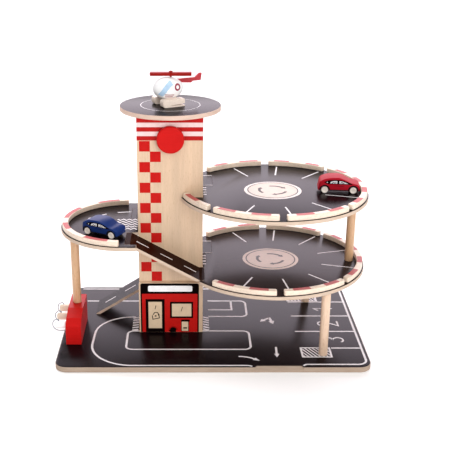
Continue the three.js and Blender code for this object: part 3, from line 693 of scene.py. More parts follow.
def print_base(front, height):
    """Road markings. Places are millimetres: X from the middle and distance from the front edge."""
    line, frame_line = 3.9, 3.4
    entry_road = [(-147, 202)] + arc((-150, 132), 70, 90, 180, 14) + arc((-142, 86), 79, 180, 268, 18)
    entry_road += arc((60, -5), 12, 90, 45, 5)
    side_road = [(-4, 204)] + arc((60, 216), 12, -90, 0, 6) + arc((60, 264), 12, 0, 90, 6) + [(-4, 276)]
    border = [(-265, 336)] + arc((261, 324), 12, 90, 0, 6) + arc((257, 27), 16, 0, -90, 8)
    border += arc((168, 1), 10, 90, 150, 5)
    rear_line = [(-250, 276), (-137, 276)]
    inner_road = [(-4, 234), (43, 234), (43, 276)]
    bays = [[(159, back), (271, back)] for back in (271, 206, 139)] + [[(218, 72), (271, 72)]]
    forecourt = rounded(-158, 67, 71, 141, 12)
    post_fields = [(162, 38, 214, 73), (159, 276, 218, 312)]
    arrows = [
        ([(117, 76), (116, 50)], line, 10, 13),
        (arc((48, -2), 42, 92, 52, 10), line, 10, 12),
        ([(115, 197), (104, 188)], 5, 12, 11),
        ([(115, 199), (118, 183)], 5, 12, 13),
    ]
    numerals, numeral_height, pen = [(226, 238), (226, 172), (226, 104)], 38, 3.2
    shapes = strip(forecourt, line, True) + zebras()
    for route in (entry_road, side_road, border, rear_line, inner_road, *bays):
        shapes += strip(route, line)
    for field in post_fields:
        shapes += strip(oblong(*field), frame_line, True) + hatch(*field)
    for points, width, head, tall in arrows:
        shapes += arrow(points, width, head, tall)
    for i, middle in enumerate(numerals):
        shapes += numeral(i + 1, middle, numeral_height, pen)
    placed = [[(x * MM, front + back * MM) for x, back in shape] for shape in shapes]
    printed("base_road_markings", placed, height, WHITE_INK)


def zebras():
    """Slanted bars on both sides of the tower's foot."""
    first, pitch, bar, count = 141, 10.5, 6, 6
    bars = []
    for left, right, rise in ((-151, -139, 3), (-15, -4, -5)):
        for i in range(count):
            back = first + i * pitch + max(0, -rise)
            bars.append([(left, back), (right, back + rise), (right, back + rise + bar), (left, back + bar)])
    return bars


def hatch(left, near, right, far):
    """Slanted bars inside a frame. The lean is how far a bar shifts along X for each step back."""
    inset, width, pitch, lean = 2, 2.9, 7, -0.55
    left, near, right, far = left + inset, near + inset, right - inset, far - inset
    shift = lean * (far - near)
    bars = []
    start = left
    while start < right - shift:
        corners = [(start, near), (start + width, near), (start + width + shift, far), (start + shift, far)]
        for edge, keep in ((left, 1), (right, -1)):
            clipped = []
            for i, (x, y) in enumerate(corners):
                before = corners[i - 1]
                inside, was_inside = keep * (x - edge) >= 0, keep * (before[0] - edge) >= 0
                if inside != was_inside:
                    share = (edge - before[0]) / (x - before[0])
                    clipped.append((edge, before[1] + (y - before[1]) * share))
                if inside:
                    clipped.append((x, y))
            corners = clipped
        if len(corners) > 2:
            bars.append(corners)
        start += pitch
    return bars


def numeral(number, middle, height, width):
    """A plain numeral drawn with the pen, read from the right edge of the board."""
    x, y = middle
    half = height / 2
    stroke_shares = {
        1: [[(-0.35, 0.55), (0.1, 1), (0.1, -1)]],
        2: [arc((0, 0.5), 0.5, 170, -40, 10) + [(-0.5, -1), (0.55, -1)]],
        3: [arc((0, 0.5), 0.5, 150, -90, 10), arc((0, -0.5), 0.5, 90, -150, 10)],
    }[number]
    shapes = []
    for stroke in stroke_shares:
        shapes += strip([(x - b * half, y + a * half) for a, b in stroke], width)
    return shapes


# Tower

# Places in an enlarged crop of the photo: the left, top, right and bottom of each print
SERVICE_LEFT, SERVICE_FOOT, SERVICE_RIGHT, SERVICE_TOP = 288, 984, 1292, 145
SERVICE_RED = (314, 322, 1266, 982)
DOOR_FRAME, DOOR_PANE = (374, 412, 702, 982), (422, 458, 654, 915)
WINDOW_FRAME, WINDOW_PANE = (794, 458, 1192, 739), (827, 491, 1162, 709)
BIN_LID, BIN = (985, 765, 1135, 800), (985, 780, 1120, 968)
BIN_FRONT, BIN_SLOT = (996, 800, 1108, 962), (1022, 898, 1090, 922)
SIGN, PLATE_MARK = (420, 184, 1178, 284), (528, 690, 560, 712)

# The width and the points of each line drawn on the door and the window
SERVICE_LINES = [
    (12, [(552, 520), (536, 585)]),
    (11, [(1010, 545), (985, 620)]),
    (14, [(500, 680), (530, 640), (575, 640), (612, 690)]),
    (14, [(486, 690), (496, 758), (612, 735), (590, 668)]),
]


def build_tower():
    for node in ("tower_front_panel", "tower_back_panel", "tower_shaft_wall"):
        dress(node, TOWER_WOOD, BOARD_EDGE)
    dress("lift_guide_rail", WOOD_Z)
    print_tower()
    build_service_board()
    build_helipad()


def print_tower():
    """Three red stripes with pale ones between them at the top, their darker red a painted shade of the
    helipad, and a staggered column of red checks.
    """
    low, high, _ = spread("tower_front_panel")
    face = low.y - INK
    stripe, pitch, red_margin, pale_margin = 8 * MM, 16.1 * MM, 0.2 * MM, 0.3 * MM
    square, rows, checks_down, checks_in = 19.17 * MM, 14, 41.3 * MM, 4.2 * MM
    stripes = 3
    red, pale, checks = [], [], []
    for i in range(stripes):
        upper = high.z - red_margin - i * pitch
        red.append(oblong(low.x, upper - stripe, high.x, upper))
    for i in range(stripes - 1):
        upper = high.z - stripe - pale_margin - i * pitch
        pale.append(oblong(low.x, upper - pitch + stripe, high.x, upper))
    for row in range(rows):
        upper = high.z - checks_down - row * square
        left = low.x + checks_in + (row % 2) * square
        checks.append(oblong(left, upper - square, left + square, upper))
    printed("tower_pale_stripes", pale, face, STRIPE_INK, turn=sideways)
    printed("tower_stripes", red, face, STRIPE_RED_INK_PAINTED_SHADE, "red_paint", sideways)
    printed("tower_checks", checks, face, RED_INK, "red_paint", sideways)


def build_service_board():
    """The workshop front: black fascia with a blank sign, a door, a window, a bin and a plant."""
    low = spread("service_board")[0]
    wide, tall, margin = 0.109 * MM, 0.12 * MM, 2.75 * MM
    corner, corner_points = 4 * MM, 7
    fascia_low, fascia_foot, lid_corner, sign_corner, pane_corner, slot_corner = 400, 982, 12, 26, 10, 8

    def at(x, y):
        return (low.x + margin + (x - SERVICE_LEFT) * wide, low.z + (SERVICE_FOOT - y) * tall)

    def block(place, round_by=0):
        left, upper, right, lower = place
        corners = (*at(left, lower), *at(right, upper))
        return rounded(*corners, round_by * wide, steps=5) if round_by else oblong(*corners)

    dress("service_board", TOWER_WOOD)
    upper_part = (*at(SERVICE_LEFT, fascia_low), *at(SERVICE_RIGHT, SERVICE_TOP))
    fascia = rounded(*upper_part, corner, corner_points - 1)
    black = [at(SERVICE_LEFT, fascia_foot), at(SERVICE_RIGHT, fascia_foot)]
    black += fascia[corner_points:3 * corner_points]
    frames = [block(DOOR_FRAME), block(WINDOW_FRAME), block(BIN_LID, lid_corner), block(BIN), plant(at)]
    panes = [block(DOOR_PANE), block(WINDOW_PANE), block(BIN_FRONT, pane_corner)]
    details = [block(BIN_SLOT, slot_corner), block(PLATE_MARK, slot_corner)]
    for width, points in SERVICE_LINES:
        details += strip([at(*point) for point in points], width * wide)
    for name, shapes, layer, finish, slot in (
        ("black", [black], 1, BLACK_INK, "black_lacquer"),
        ("red", [block(SERVICE_RED)], 2, RED_INK, "red_paint"),
        ("frames", frames, 3, BLACK_INK, "black_lacquer"),
        ("panes", panes, 4, PANE_INK, "natural_wood"),
        ("sign", [block(SIGN, sign_corner)], 4, SIGN_INK, "white_paint"),
        ("details", details, 5, BLACK_INK, "black_lacquer"),
    ):
        printed("service_board_" + name, shapes, low.y - layer * INK, finish, slot, sideways)


def plant(at):
    """A leafy outline in a pot, in the crop's pixels."""
    middle, ground, pot_foot, pot_half = 848, 945, 982, 48
    leaf, tip, dent, flatness, steps = 62, 26, 14, 0.85, 27
    points = []
    for i in range(steps + 1):
        angle = math.pi * i / steps
        radius = leaf + (tip if i % 2 else -dent)
        points.append(at(middle + radius * math.cos(angle), ground - radius * flatness * math.sin(angle)))
    return points + [at(middle - pot_half, pot_foot), at(middle + pot_half, pot_foot)]


def build_helipad():
    low, high, middle = spread("helipad")
    ring, line = 54 * MM, 1.25 * MM
    radius = (high.x - low.x) / 2
    centre = (middle.x, middle.y)
    pad = board("helipad_board", circle(centre, radius, FINE), low.z, high.z, HELIPAD_BOARD)
    stand_in("helipad", "black_lacquer")
    printed("helipad_ring", strip(circle(centre, ring), line, True), high.z + INK, WHITE_INK)


# Decks, kerbs, ramps and posts

# Start and end angle of each kerb, and where its red blocks start and end as shares of its length
KERBS = [
    (195.06, 223.6, [(0.12, 0.62)]),
    (227.9, 268.8, [(0.08, 0.36), (0.60, 0.88)]),
    (273, 315, [(0.13, 0.39), (0.63, 0.89)]),
    (318, 404.4, [(0.06, 0.18), (0.32, 0.44), (0.57, 0.69), (0.81, 0.92)]),
    (48, 88, [(0.09, 0.34), (0.64, 0.90)]),
    (93, 135, [(0.06, 0.37), (0.60, 0.85)]),
]
LEFT_KERB = (92, 266, [(0.053, 0.178), (0.306, 0.485), (0.56, 0.66), (0.808, 0.943)])


def sink_seat(deck, ramp, floor, left=None, right=None):
    """Sinks a seat for a ramp's tab into a deck, out past the deck's edge on the left or the right.
    Returns the seat's right end and its two sides."""
    low, high, _ = spread(ramp)
    x0 = low.x - SLIDE if left is None else left - OVER
    x1 = high.x + SLIDE if right is None else right + OVER
    y0, y1 = low.y - SLIDE, high.y + SLIDE
    tall = 20 * MM
    place = Matrix.Translation(((x0 + x1) / 2, (y0 + y1) / 2, floor + tall / 2))
    bm = bmesh.new()
    bmesh.ops.create_cube(bm, size=1, matrix=place @ Matrix.Diagonal((x1 - x0, y1 - y0, tall, 1)))
    combine(deck, [helper(bm)], "DIFFERENCE")
    crisp(deck)
    return x1, y0, y1


def print_landing(node, start, end, near, far, height):
    """Pale lines along both sides of a ramp's landing, a painted highlight of the tab's pale edges, with a
    painted shadow of the gap before the near one.
    """
    pale, gap_shade = 2.2 * MM, 2.0 * MM
    lines = [oblong(start, near - pale, end, near), oblong(start, far, end, far + pale)]
    printed(node + "_landing_lines", lines, height, WHITE_INK)
    shadow = [oblong(start, near - pale - gap_shade, end, near - pale)]
    printed(node + "_landing_gap_shade", shadow, height, GAP_SHADE_INK, "black_lacquer")


def build_round_deck(node, rear_ramp, finish, rim, first_kerb):
    """A round deck that is notched for the tower, with its prints and kerbs."""
    low, high, _ = spread(node)
    tower_low, tower_high, _ = spread("tower_front_panel")
    gap, near = 0.4 * MM, 0.2 * MM
    radius = (high.y - low.y) / 2
    centre = (high.x - radius, (low.y + high.y) / 2)
    edge, front = tower_high.x + gap, tower_low.y - gap
    back = math.degrees(math.acos((edge - centre[0]) / radius))
    left_tip = math.degrees(math.acos(min(1, (centre[0] - low.x) / radius)))
    front_tip = math.degrees(math.asin((centre[1] - front) / radius))
    outline = arc(centre, radius, back, max(left_tip, front_tip) - 180, FINE)
    if front - outline[-1][1] > near:
        outline.append((low.x, front))
    outline.append((edge, front))
    deck = board(node + "_board", outline, low.z, high.z, finish)
    landing_end, landing_near, landing_far = sink_seat(deck, rear_ramp, high.z - SEAT, left=edge)
    print_landing(node, edge + SLIDE, landing_end, landing_near, landing_far, high.z + INK)
    if node == "lower_deck":
        sink_seat(deck, "ramp_lower_to_left", high.z - SEAT, left=low.x)
    stand_in(node, "black_lacquer")
    print_deck(node, centre, edge, high.z, rim)
    for i, kerb in enumerate(KERBS[first_kerb:]):
        build_kerb(f"{node.split('_')[0]}_kerb_{i + 1}", centre, radius, *kerb)


def print_deck(node, centre, edge, top, rim):
    """Bay lines, steps beside the tower and the roundabout."""
    bay_angles, bay_start, bay_end, bay_line = (16.4, 49.7, 82, 114.5), 97 * MM, 156 * MM, 2.8 * MM
    step_first, step_pitch, step_in, step_out, step_wide = (n * MM for n in (-18, 13.5, 0.6, 6.5, 5.5))
    disc, disc_line, middle_share, line_share, arrow_share = 52.8 * MM, 2.1 * MM, 0.84, 0.87, 0.47
    arrow_line, head, tall = 5 * MM, 11 * MM, 8 * MM
    step_count, arrow_starts, arrow_sweep, arrow_steps = 4, (100, 220, 340), 62, 12
    lines = []
    for angle in bay_angles:
        for turn in (angle, -angle):
            ends = [arc(centre, radius, turn, turn, 1)[0] for radius in (bay_start, bay_end)]
            lines += strip(ends, bay_line)
    for i in range(step_count):
        y = step_first + i * step_pitch
        lines.append(oblong(edge + step_in, y, edge + step_out, y + step_wide))
    printed(node + "_bay_lines", lines, top + INK, WHITE_INK)
    printed(node + "_roundabout", [circle(centre, disc)], top + INK, rim, "natural_wood")
    inner = [circle(centre, disc * middle_share)]
    printed(node + "_roundabout_middle", inner, top + 2 * INK, PAD_INK, "natural_wood")
    marks = strip(circle(centre, disc * line_share), disc_line, True)
    for start in arrow_starts:
        route = arc(centre, disc * arrow_share, start, start - arrow_sweep, arrow_steps)
        marks += arrow(route, arrow_line, head, tall)
    printed(node + "_roundabout_marks", marks, top + 3 * INK, GREY_INK, "black_lacquer")


def build_kerb(node, centre, deck_radius, start, end, stripe_shares):
    """A curved wooden edging strip with red blocks printed on its top."""
    low, high, _ = spread(node)
    inset, width, corner, edge, margin = (n * MM for n in (2.5, 11, 3, 1.3, 0.8))
    steps_for_each_degree, fewest, fewest_printed = 0.8, 6, 4
    outer = deck_radius - inset
    inner = outer - width
    steps = max(fewest, round((end - start) * steps_for_each_degree))
    trim = math.degrees(corner / outer)
    outline = arc(centre, outer, start + trim, end - trim, steps)
    outline += kerb_end(centre, (outer, -corner), (inner, corner), end, -trim)
    outline += arc(centre, inner, end - trim, start + trim, steps)
    outline += kerb_end(centre, (inner, corner), (outer, -corner), start, trim)
    kerb = board(node + "_strip", outline, low.z, high.z, PALE_WOOD, edge, segments=4)
    stand_in(node, "natural_wood")
    shapes = []
    for shares in stripe_shares:
        a, b = (start + (end - start) * share for share in shares)
        steps = max(fewest_printed, round((b - a) * steps_for_each_degree))
        shapes.append(arc(centre, outer - margin, a, b, steps) + arc(centre, inner + margin, b, a, steps))
    printed(node + "_stripes", shapes, high.z + INK, KERB_INK, "red_paint")


def kerb_end(centre, first, second, angle, trim):
    """The two round corners at the end of a kerb. Each has its arc's radius and the reach of its turn."""
    steps = 4
    corners = []
    for radius, across in (first, second):
        points = []
        for i in range(1, steps + 1):
            turn = math.pi / 2 * i / steps
            reach = radius + across * (1 - math.cos(turn))
            points.append(arc(centre, reach, angle + trim * (1 - math.sin(turn)), angle, 1)[0])
        corners.append(points)
    return corners[0] + corners[1][::-1]


def build_left_deck():
    low, high, _ = spread("left_deck")
    tower_front = spread("tower_front_panel")[0].y
    notch, seat_gap = 12 * MM, 0.3 * MM
    radius = (high.y - low.y) / 2
    centre = (low.x + radius, (low.y + high.y) / 2)
    edge, notch_x = high.x, high.x - notch
    notch_y = spread("ramp_lower_to_left")[0].y - SLIDE
    outline = [(edge, high.y)] + arc(centre, radius, 90, 270, FINE // 2) + [(edge, low.y)]
    outline += [(edge, notch_y), (notch_x, notch_y), (notch_x, tower_front), (edge, tower_front)]
    deck = board("left_deck_board", outline, low.z, high.z, BOARD)
    floor = spread("ramp_left_to_upper")[0].z - seat_gap
    sink_seat(deck, "ramp_left_to_upper", floor, right=edge)
    sink_seat(deck, "ramp_lower_to_left", floor, right=notch_x)
    stand_in("left_deck", "black_lacquer")
    print_left_deck(high.z + INK)
    build_kerb("left_kerb", centre, radius, *LEFT_KERB)


def print_left_deck(height):
    """Two bay lines and a field of waves. Places are millimetres."""
    bay_lines = [(3.4, [(-181, 80), (-155, 84)]), (2.8, [(-235, 45), (-202, 71)])]
    wave_left, wave_front, step, swing, pitch, wave_line = -178, -12, 5.6, 3.4, 12.4, 2.9
    waves, corners = 5, 8
    lines = []
    for width, ends in bay_lines:
        lines += strip(ends, width)
    for row in range(waves):
        y = wave_front + pitch * row
        wave = [(wave_left + step * i, y - swing if i % 2 else y + swing) for i in range(corners)]
        lines += strip(wave, wave_line)
    printed("left_deck_markings", in_mm(lines), height, WHITE_INK)


def build_ramp(node, finish, tabs, lip, first_dash=None):
    """A ramp with dashes along its middle. The one with no first dash falls to the right and has three."""
    edge, line, dash, pitch, last_share = 0.35 * MM, 3.4 * MM, 21 * MM, 40 * MM, 0.95
    most_dashes, falling_dash, falling_shares = 5, 22 * MM, (0.171, 0.516, 0.865)
    dress(node, finish, edge)
    low, high, middle = spread(node)
    left = low.x + tabs[0]
    run = high.x - tabs[1] - left
    start, end = low.z + lip, high.z
    shares, length_share = falling_shares, falling_dash / run
    if first_dash is None:
        start, end = end, start
    else:
        shares = [(first_dash - left + i * pitch) / run for i in range(most_dashes)]
        length_share = dash / run
    lift = Vector((start - end, 0, run)).normalized() * INK
    bm = bmesh.new()
    for share in shares:
        if share > last_share:
            continue
        quad = []
        for along, side in oblong(-0.5, -0.5, 0.5, 0.5):
            t = share + along * length_share
            spot = Vector((left + run * t, middle.y + side * line, start + (end - start) * t))
            quad.append(bm.verts.new(spot + lift))
        bm.faces.new(quad)
    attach(add_print(node + "_dashes", bm, UP, WHITE_INK, "white_paint"), "garage")


def build_ramps():
    short_tab, long_tab, foot_lip, lip = 9 * MM, 19 * MM, 1.4 * MM, 3 * MM
    build_ramp("ramp_base_to_lower", SLOPE, (0, long_tab), foot_lip, first_dash=-199.3 * MM)
    build_ramp("ramp_left_to_upper", SLOPE, (short_tab, long_tab), lip, first_dash=-124 * MM)
    build_ramp("ramp_lower_to_left", FRONT_SLOPE_PAINTED_REFLECTION, (short_tab, short_tab), lip)


def build_posts():
    edge, shoulder_share = 0.8 * MM, 0.3
    for node, finish in (("lower_post_front", POST_WOOD), ("lower_post_rear", POST_WOOD),
                         ("upper_post", GOLDEN_POST_WOOD), ("pump_post", GOLDEN_POST_WOOD)):
        low, high, middle = spread(node)
        radius = (high.x - low.x) / 2
        height = high.z - low.z
        foot = [(radius - edge, 0), (radius - edge * shoulder_share, edge * shoulder_share), (radius, edge)]
        outline = [(0, 0)] + foot + [(out, height - up) for out, up in reversed(foot)] + [(0, height)]
        post = lathe(node + "_turned", outline, (middle.x, middle.y, low.z), UP, finish)
        stand_in(node, "natural_wood")


# Pump

# The hose's route, in millimetres from the middle of its nozzle's socket
HOSE_ROUTE = [
    (-0.4, 0, -11.5), (-3.5, 0, -11.5), (-8, -0.5, -11.6), (-13.5, -1.2, -11.2), (-18.6, -1.8, -9.4),
    (-22.6, -2, -5.8), (-24.8, -2, -0.8), (-24.8, -1.6, 4.4), (-22.6, -1, 8.6), (-18.8, -0.4, 10.9),
    (-15.8, 0, 10.6), (-14.2, 0, 9.2), (-14, 0, 7.4),
]


def route_points(origin):
    """The hose's smooth line through its route's points, as in the solids."""
    steps = 5
    corners = [Vector(origin) + Vector(point) * MM for point in HOSE_ROUTE]
    return smooth_line([corners[0] * 2 - corners[1], *corners, corners[-1] * 2 - corners[-2]], steps)


def tube(name, line, radius, material, body):
    sides = 12
    bm = bmesh.new()
    rows = []
    for i, point in enumerate(line):
        way = (line[min(i + 1, len(line) - 1)] - line[max(i - 1, 0)]).normalized()
        across = (Y - way * Y.dot(way)).normalized()
        rows.append(round_row(bm, point, across, way.cross(across), radius, sides))
    skin(bm, rows, capped=True)
    return closed_piece(name, bm, material, body, smooth=50)


def build_pump():
    dress("pump_block", RED, 1.3 * MM, 4)
    side = spread("pump_block")[0].x
    for end in ("front", "middle", "rear"):
        body = end + "_nozzle"
        low, high, middle = spread("nozzle_" + end)
        socket = (side, middle.y, middle.z)
        outline = nozzle_outline((high.z - low.z) / 2, side - low.x, high.x - side)
        finish, slot = (WHITE, "white_paint") if end == "front" else (PALE_WOOD, "natural_wood")
        nozzle = lathe("nozzle_" + end + "_turned", outline, socket, -X, finish, body, steps=40)
        stand_in("nozzle_" + end, slot)
        build_hose(end, body, socket)


def nozzle_outline(radius, handle, peg):
    """A nozzle from the end of its peg to the tip of its handle."""
    peg_radius, edge, shoulder, nose = 3 * MM, 0.4 * MM, 2.4 * MM, 4.4 * MM
    outline = [(0, -peg), (peg_radius - edge, -peg), (peg_radius, edge - peg), (peg_radius, edge)]
    for out, along in arc((0, 0), shoulder, 180, 90, 6):
        outline.append((radius - shoulder + along, edge + shoulder + out))
    for out, along in arc((0, 0), 1, 0, 90, 8):
        outline.append((radius * (1 + out) / 2, handle - nose * (1 - along)))
    return outline + [(0, handle)]


def build_hose(end, body, socket):
    diameter = 1.8 * MM
    line = route_points(socket)
    hose = tube("hose_" + end + "_sleeve", line, diameter / 2, HOSE, body)
    stand_in("hose_" + end, "hose_cord")
    length = sum((b - a).length for a, b in zip(line, line[1:]))
    tuple(line[0])
    [tuple(point) for point in line]


# Lift


def build_lift():
    build_knob()
    dress("lift_spool", WOOD_Y, 0.3 * MM)
    dress("lift_floor", BOARD)
    dress("lift_back", TOWER_WOOD)
    dress("lift_roof", RED, 0.2 * MM)
    build_lift_cord()
    inset, line = 6 * MM, 2 * MM
    low, high, _ = spread("lift_floor")
    plate = oblong(low.x + inset, low.y + inset, high.x - inset, high.y - inset)
    printed("lift_floor_outline", strip(plate, line, True), high.z + INK, WHITE_INK, body="lift_cabin")


def build_knob():
    low, high, middle = spread("lift_knob")
    radius = (high.x - low.x) / 2
    depth = high.y - low.y
    socket, floor, round_by, rim, flat = (n * MM for n in (4.4, 4, 3.2, 1, 0.3))
    dent, rim_step = 0.5 * MM, 0.4 * MM
    outline = [(0, dent), (radius / 2, flat), (radius - round_by - rim, 0)]
    for out, along in arc((0, 0), round_by, 180, 90, 8):
        outline.append((radius - round_by + along, round_by + out))
    outline += [(radius, depth - rim), (radius - rim_step, depth - flat), (radius - rim, depth),
                (socket, depth), (socket, floor), (0, floor)]
    centre = (middle.x, low.y, middle.z)
    knob = lathe("lift_knob_turned", outline, centre, Y, RED, "lift_drive", PRINT_STEPS)
    stand_in("lift_knob", "red_paint")


def build_lift_cord():
    """A laid cord of three strands."""
    low, high, middle = spread("lift_cord")
    radius, length = (high.x - low.x) / 2, high.z - low.z
    steps, sides, strands, twist, groove_share = 240, 16, 3, 0.35, 0.1
    bm = bmesh.new()
    rows = []
    for i in range(steps + 1):
        row = []
        for side in range(sides):
            angle = 2 * math.pi * side / sides
            lay = radius * (1 - groove_share + groove_share * math.cos(strands * (angle + i * twist)))
            way = X * math.cos(angle) + Y * math.sin(angle)
            row.append(bm.verts.new(Vector((middle.x, middle.y, low.z + length * i / steps)) + way * lay))
        rows.append(row)
    skin(bm, rows, capped=True)
    cord = closed_piece("lift_cord_laid", bm, CORD, "garage", smooth=60)
    stand_in("lift_cord", "lift_cord")
    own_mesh(cord)


# Cars

# The car's length and width, and its outline as shares of its length and height
CAR_LENGTH, CAR_WIDTH = 77 * MM, 34 * MM
CAR_PROFILE_SHARES = [
    (-0.5, 0.21), (-0.48, 0.457), (-0.445, 0.753), (-0.326, 0.926), (-0.199, 0.988), (-0.025, 1),
    (0.094, 0.926), (0.203, 0.778), (0.285, 0.679), (0.386, 0.63), (0.468, 0.506), (0.495, 0.358), (0.5, 0.2),
]

# The prints on a car's side, in millimetres along the nose from the middle and up from the ground
CAR_WINDOW = [
    (-27, 20), (-25, 22.3), (-18.5, 24.8), (-5, 25.6), (5, 25), (14, 22.6), (24, 18.2), (23, 17.2),
    (-20, 17.4),
]
CAR_PANES = [
    [(-17, 18.9), (-3.6, 18.7), (-3.6, 23.6), (-10, 23.5), (-15, 22)],
    [(0, 18.7), (16.5, 18.5), (11, 21.2), (5, 23.1), (0, 23.6)],
    circle((-21.6, 20.6), 1.0, 10),
]
CAR_SEATS = strip([(-13, 19.2), (-10.4, 21.2), (-7.6, 19.6), (-5.6, 21.4)], 1.1)
CAR_SEATS += strip([(2.4, 19.4), (4.6, 21.6), (6.6, 19.6), (9.4, 20.4)], 1.1)
CAR_LINES = [[(-17, 5.2), (17, 5.2), (16.5, 7.0), (-16.5, 7.0)]] + strip([(-8, 14.4), (8, 14)], 0.8)


def rod_cutter(place, radius, length, steps=48):
    """A rod along Y."""
    turn = UP.rotation_difference(Y).to_matrix().to_4x4()
    bm = bmesh.new()
    bmesh.ops.create_cone(bm, cap_ends=True, segments=steps, radius1=radius, radius2=radius, depth=length,
                          matrix=Matrix.Translation(place) @ turn)
    return helper(bm)


def build_car(name, finish, slot):
    """A car is carved at the origin with its nose along X, and then put in its place."""
    low, high, _ = spread(name + "_body")
    spin = joints[name + "_front_wheels_turn"]
    axis = Vector(spin["axis"]).normalized()
    hub, rear_hub = Vector(spin["pos_m"]), Vector(joints[name + "_rear_wheels_turn"]["pos_m"])
    base, forward, centre = (hub - rear_hub).length, (hub - rear_hub).normalized(), (hub + rear_hub) / 2
    ground = spread(name + "_front_axle_wheel")[0].z
    place = Matrix((
        (forward.x, axis.x, 0, centre.x), (forward.y, axis.y, 0, centre.y), (0, 0, 1, ground), (0, 0, 0, 1),
    ))
    wheel, well_gap = hub.z - ground, 1 * MM
    body = carve_body(name, finish, high.z - ground, low.z - ground)
    cut_wells(body, base, wheel, wheel + well_gap)
    decals = car_decals(name, tree_of(body), base, wheel, wheel + well_gap)
    body.data.transform(place)
    crisp(body, angle=30)
    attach(body, name)
    stand_in(name + "_body", slot)
    for piece in decals:
        piece.data.transform(place)
        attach(piece, name)
    for end in ("front", "rear"):
        build_wheels(name, end, axis)


def carve_body(name, finish, height, clearance):
    """The side outline across the car's width, with soft edges, kept within a plan with round corners."""
    end_trim, edge, plan_corner, over, steps = 3 * MM, 2.6 * MM, 7 * MM, 1 * MM, 4
    half_long, half_wide = CAR_LENGTH / 2, CAR_WIDTH / 2
    profile = [Vector((along * CAR_LENGTH, up * height)) for along, up in CAR_PROFILE_SHARES]
    outline = smooth_line([profile[0], *profile, profile[-1]], steps)
    outline += [(half_long - end_trim, clearance), (end_trim - half_long, clearance)]
    body = add_object(name + "_carved", prism(outline, sideways, -half_wide, half_wide), [finish, DARK_PRINT_AND_PAINTED_SHADE])
    crisp(body)
    soften(body, edge, segments=5, angle=50)
    bake(body)
    corners = rounded(-half_long, -half_wide, half_long, half_wide, plan_corner)
    combine(body, [helper(prism(corners, upright, -over, height + over))], "INTERSECT")
    return body


def cut_wells(body, base, wheel, well):
    """Wheel wells and axle bores, with painted shade inside them."""
    deep, over, bore, bore_steps, near, side_gap = 6 * MM, 1 * MM, 2 * MM, 24, 0.05 * MM, 0.2 * MM
    cutters = []
    for along in (-base / 2, base / 2):
        for side in (-1, 1):
            spot = (along, side * (CAR_WIDTH / 2 - deep / 2 + over), wheel)
            cutters.append(rod_cutter(spot, well, deep + 2 * over))
        cutters.append(rod_cutter((along, 0, wheel), bore, CAR_WIDTH, bore_steps))
    combine(body, cutters, "DIFFERENCE")
    # The faces in and near the wells get the dark paint as painted shade.
    for face in body.data.polygons:
        spot = face.center
        reach = min(math.hypot(spot.x - along, spot.z - wheel) for along in (-base / 2, base / 2))
        if reach < well + near and abs(spot.y) < CAR_WIDTH / 2 - side_gap:
            face.material_index = 1


def car_decals(name, tree, base, wheel, well):
    """Windows, painted shade round the wheel arches, and sill lines, the same on both sides."""
    arch_shade_width, arch_gap, past, steps, grid = 2.8 * MM, 0.15 * MM, 6, 20, (3, 2.2 * MM)
    # Dark rings round each wheel well: painted shade of the arch.
    arch_shades = []
    for along in (-base / 2, base / 2):
        outer = arc((along, wheel), well + arch_shade_width, -past, 180 + past, steps)
        arch_shades.append(outer + arc((along, wheel), well + arch_gap, 180 + past, -past, steps))
    decals = []
    for side, word in ((-1, "right"), (1, "left")):
        flank = (Vector((0, 0, 0)), X, Y * side)
        for part, shapes, layers, finish, slot in (
            ("window_band", in_mm([CAR_WINDOW]), 1, BLACK_INK, "black_lacquer"),
            ("windows", in_mm(CAR_PANES), 2.2, GLASS_INK, "white_paint"),
            ("seats", in_mm(CAR_SEATS), 3.4, DARK_PRINT_AND_PAINTED_SHADE, "black_lacquer"),
            ("arch_shades", arch_shades, 1, DARK_PRINT_AND_PAINTED_SHADE, "black_lacquer"),
            ("lines", in_mm(CAR_LINES), 1, DARK_PRINT_AND_PAINTED_SHADE, "black_lacquer"),
        ):
            piece = f"{name}_{word}_{part}"
            decals.append(laid(piece, shapes, tree, flank, grid, layers * INK, finish, slot))
    return decals


def build_wheels(name, end, axis):
    """The axle with its left wheel and the right wheel pressed on its other end."""
    body = f"{name}_{end}_wheels"
    hub = Vector(joints[body + "_turn"]["pos_m"])
    low, high, _ = spread(f"{name}_{end}_axle_wheel")
    radius = (high.z - low.z) / 2
    half = CAR_WIDTH / 2
    wide, edge, axle, dish, play = 5 * MM, 0.9 * MM, 1.6 * MM, 0.7 * MM, 0.3 * MM
    hollow_shares = [(0.62, 0), (0.5, 0.7), (0.46, 1)]
    rim = []
    for corner, start in ((edge, 90), (wide - edge, 0)):
        rim += [(radius - edge + x, corner - y) for x, y in arc((0, 0), edge, start, start - 90, 5)]
    hollow = [(radius * out, dish * deep) for out, deep in hollow_shares]
    left = [(0, dish - half), (axle, dish - half), (axle, half - wide)]
    left += [(out, half - wide + along) for out, along in rim]
    left += [(out, half - deep) for out, deep in hollow] + [(0, half - dish)]
    bore = axle + play
    right = [(bore, wide)] + [(out, wide - along) for out, along in rim]
    right += hollow + [(bore, dish), (bore, wide)]
    for part, outline, centre in (("axle_wheel", left, hub), ("bored_wheel", right, hub - axis * half)):
        node = f"{name}_{end}_{part}"
        piece = lathe(node + "_turned", outline, centre, axis, WHEEL_WOOD, body)
        stand_in(node, "natural_wood")


# Helicopter

# The body's outline from the nose: shares of its length from the middle, and of its radius
HELICOPTER_SHARES = [
    (-0.5, 0), (-0.495, 0.13), (-0.485, 0.24), (-0.46, 0.39), (-0.43, 0.52), (-0.38, 0.66), (-0.33, 0.78),
    (-0.26, 0.88), (-0.19, 0.95), (-0.11, 0.99), (-0.04, 1), (0.04, 0.985), (0.12, 0.95), (0.2, 0.89),
    (0.27, 0.81), (0.34, 0.70), (0.39, 0.6), (0.44, 0.45), (0.47, 0.32), (0.49, 0.18), (0.5, 0),
]

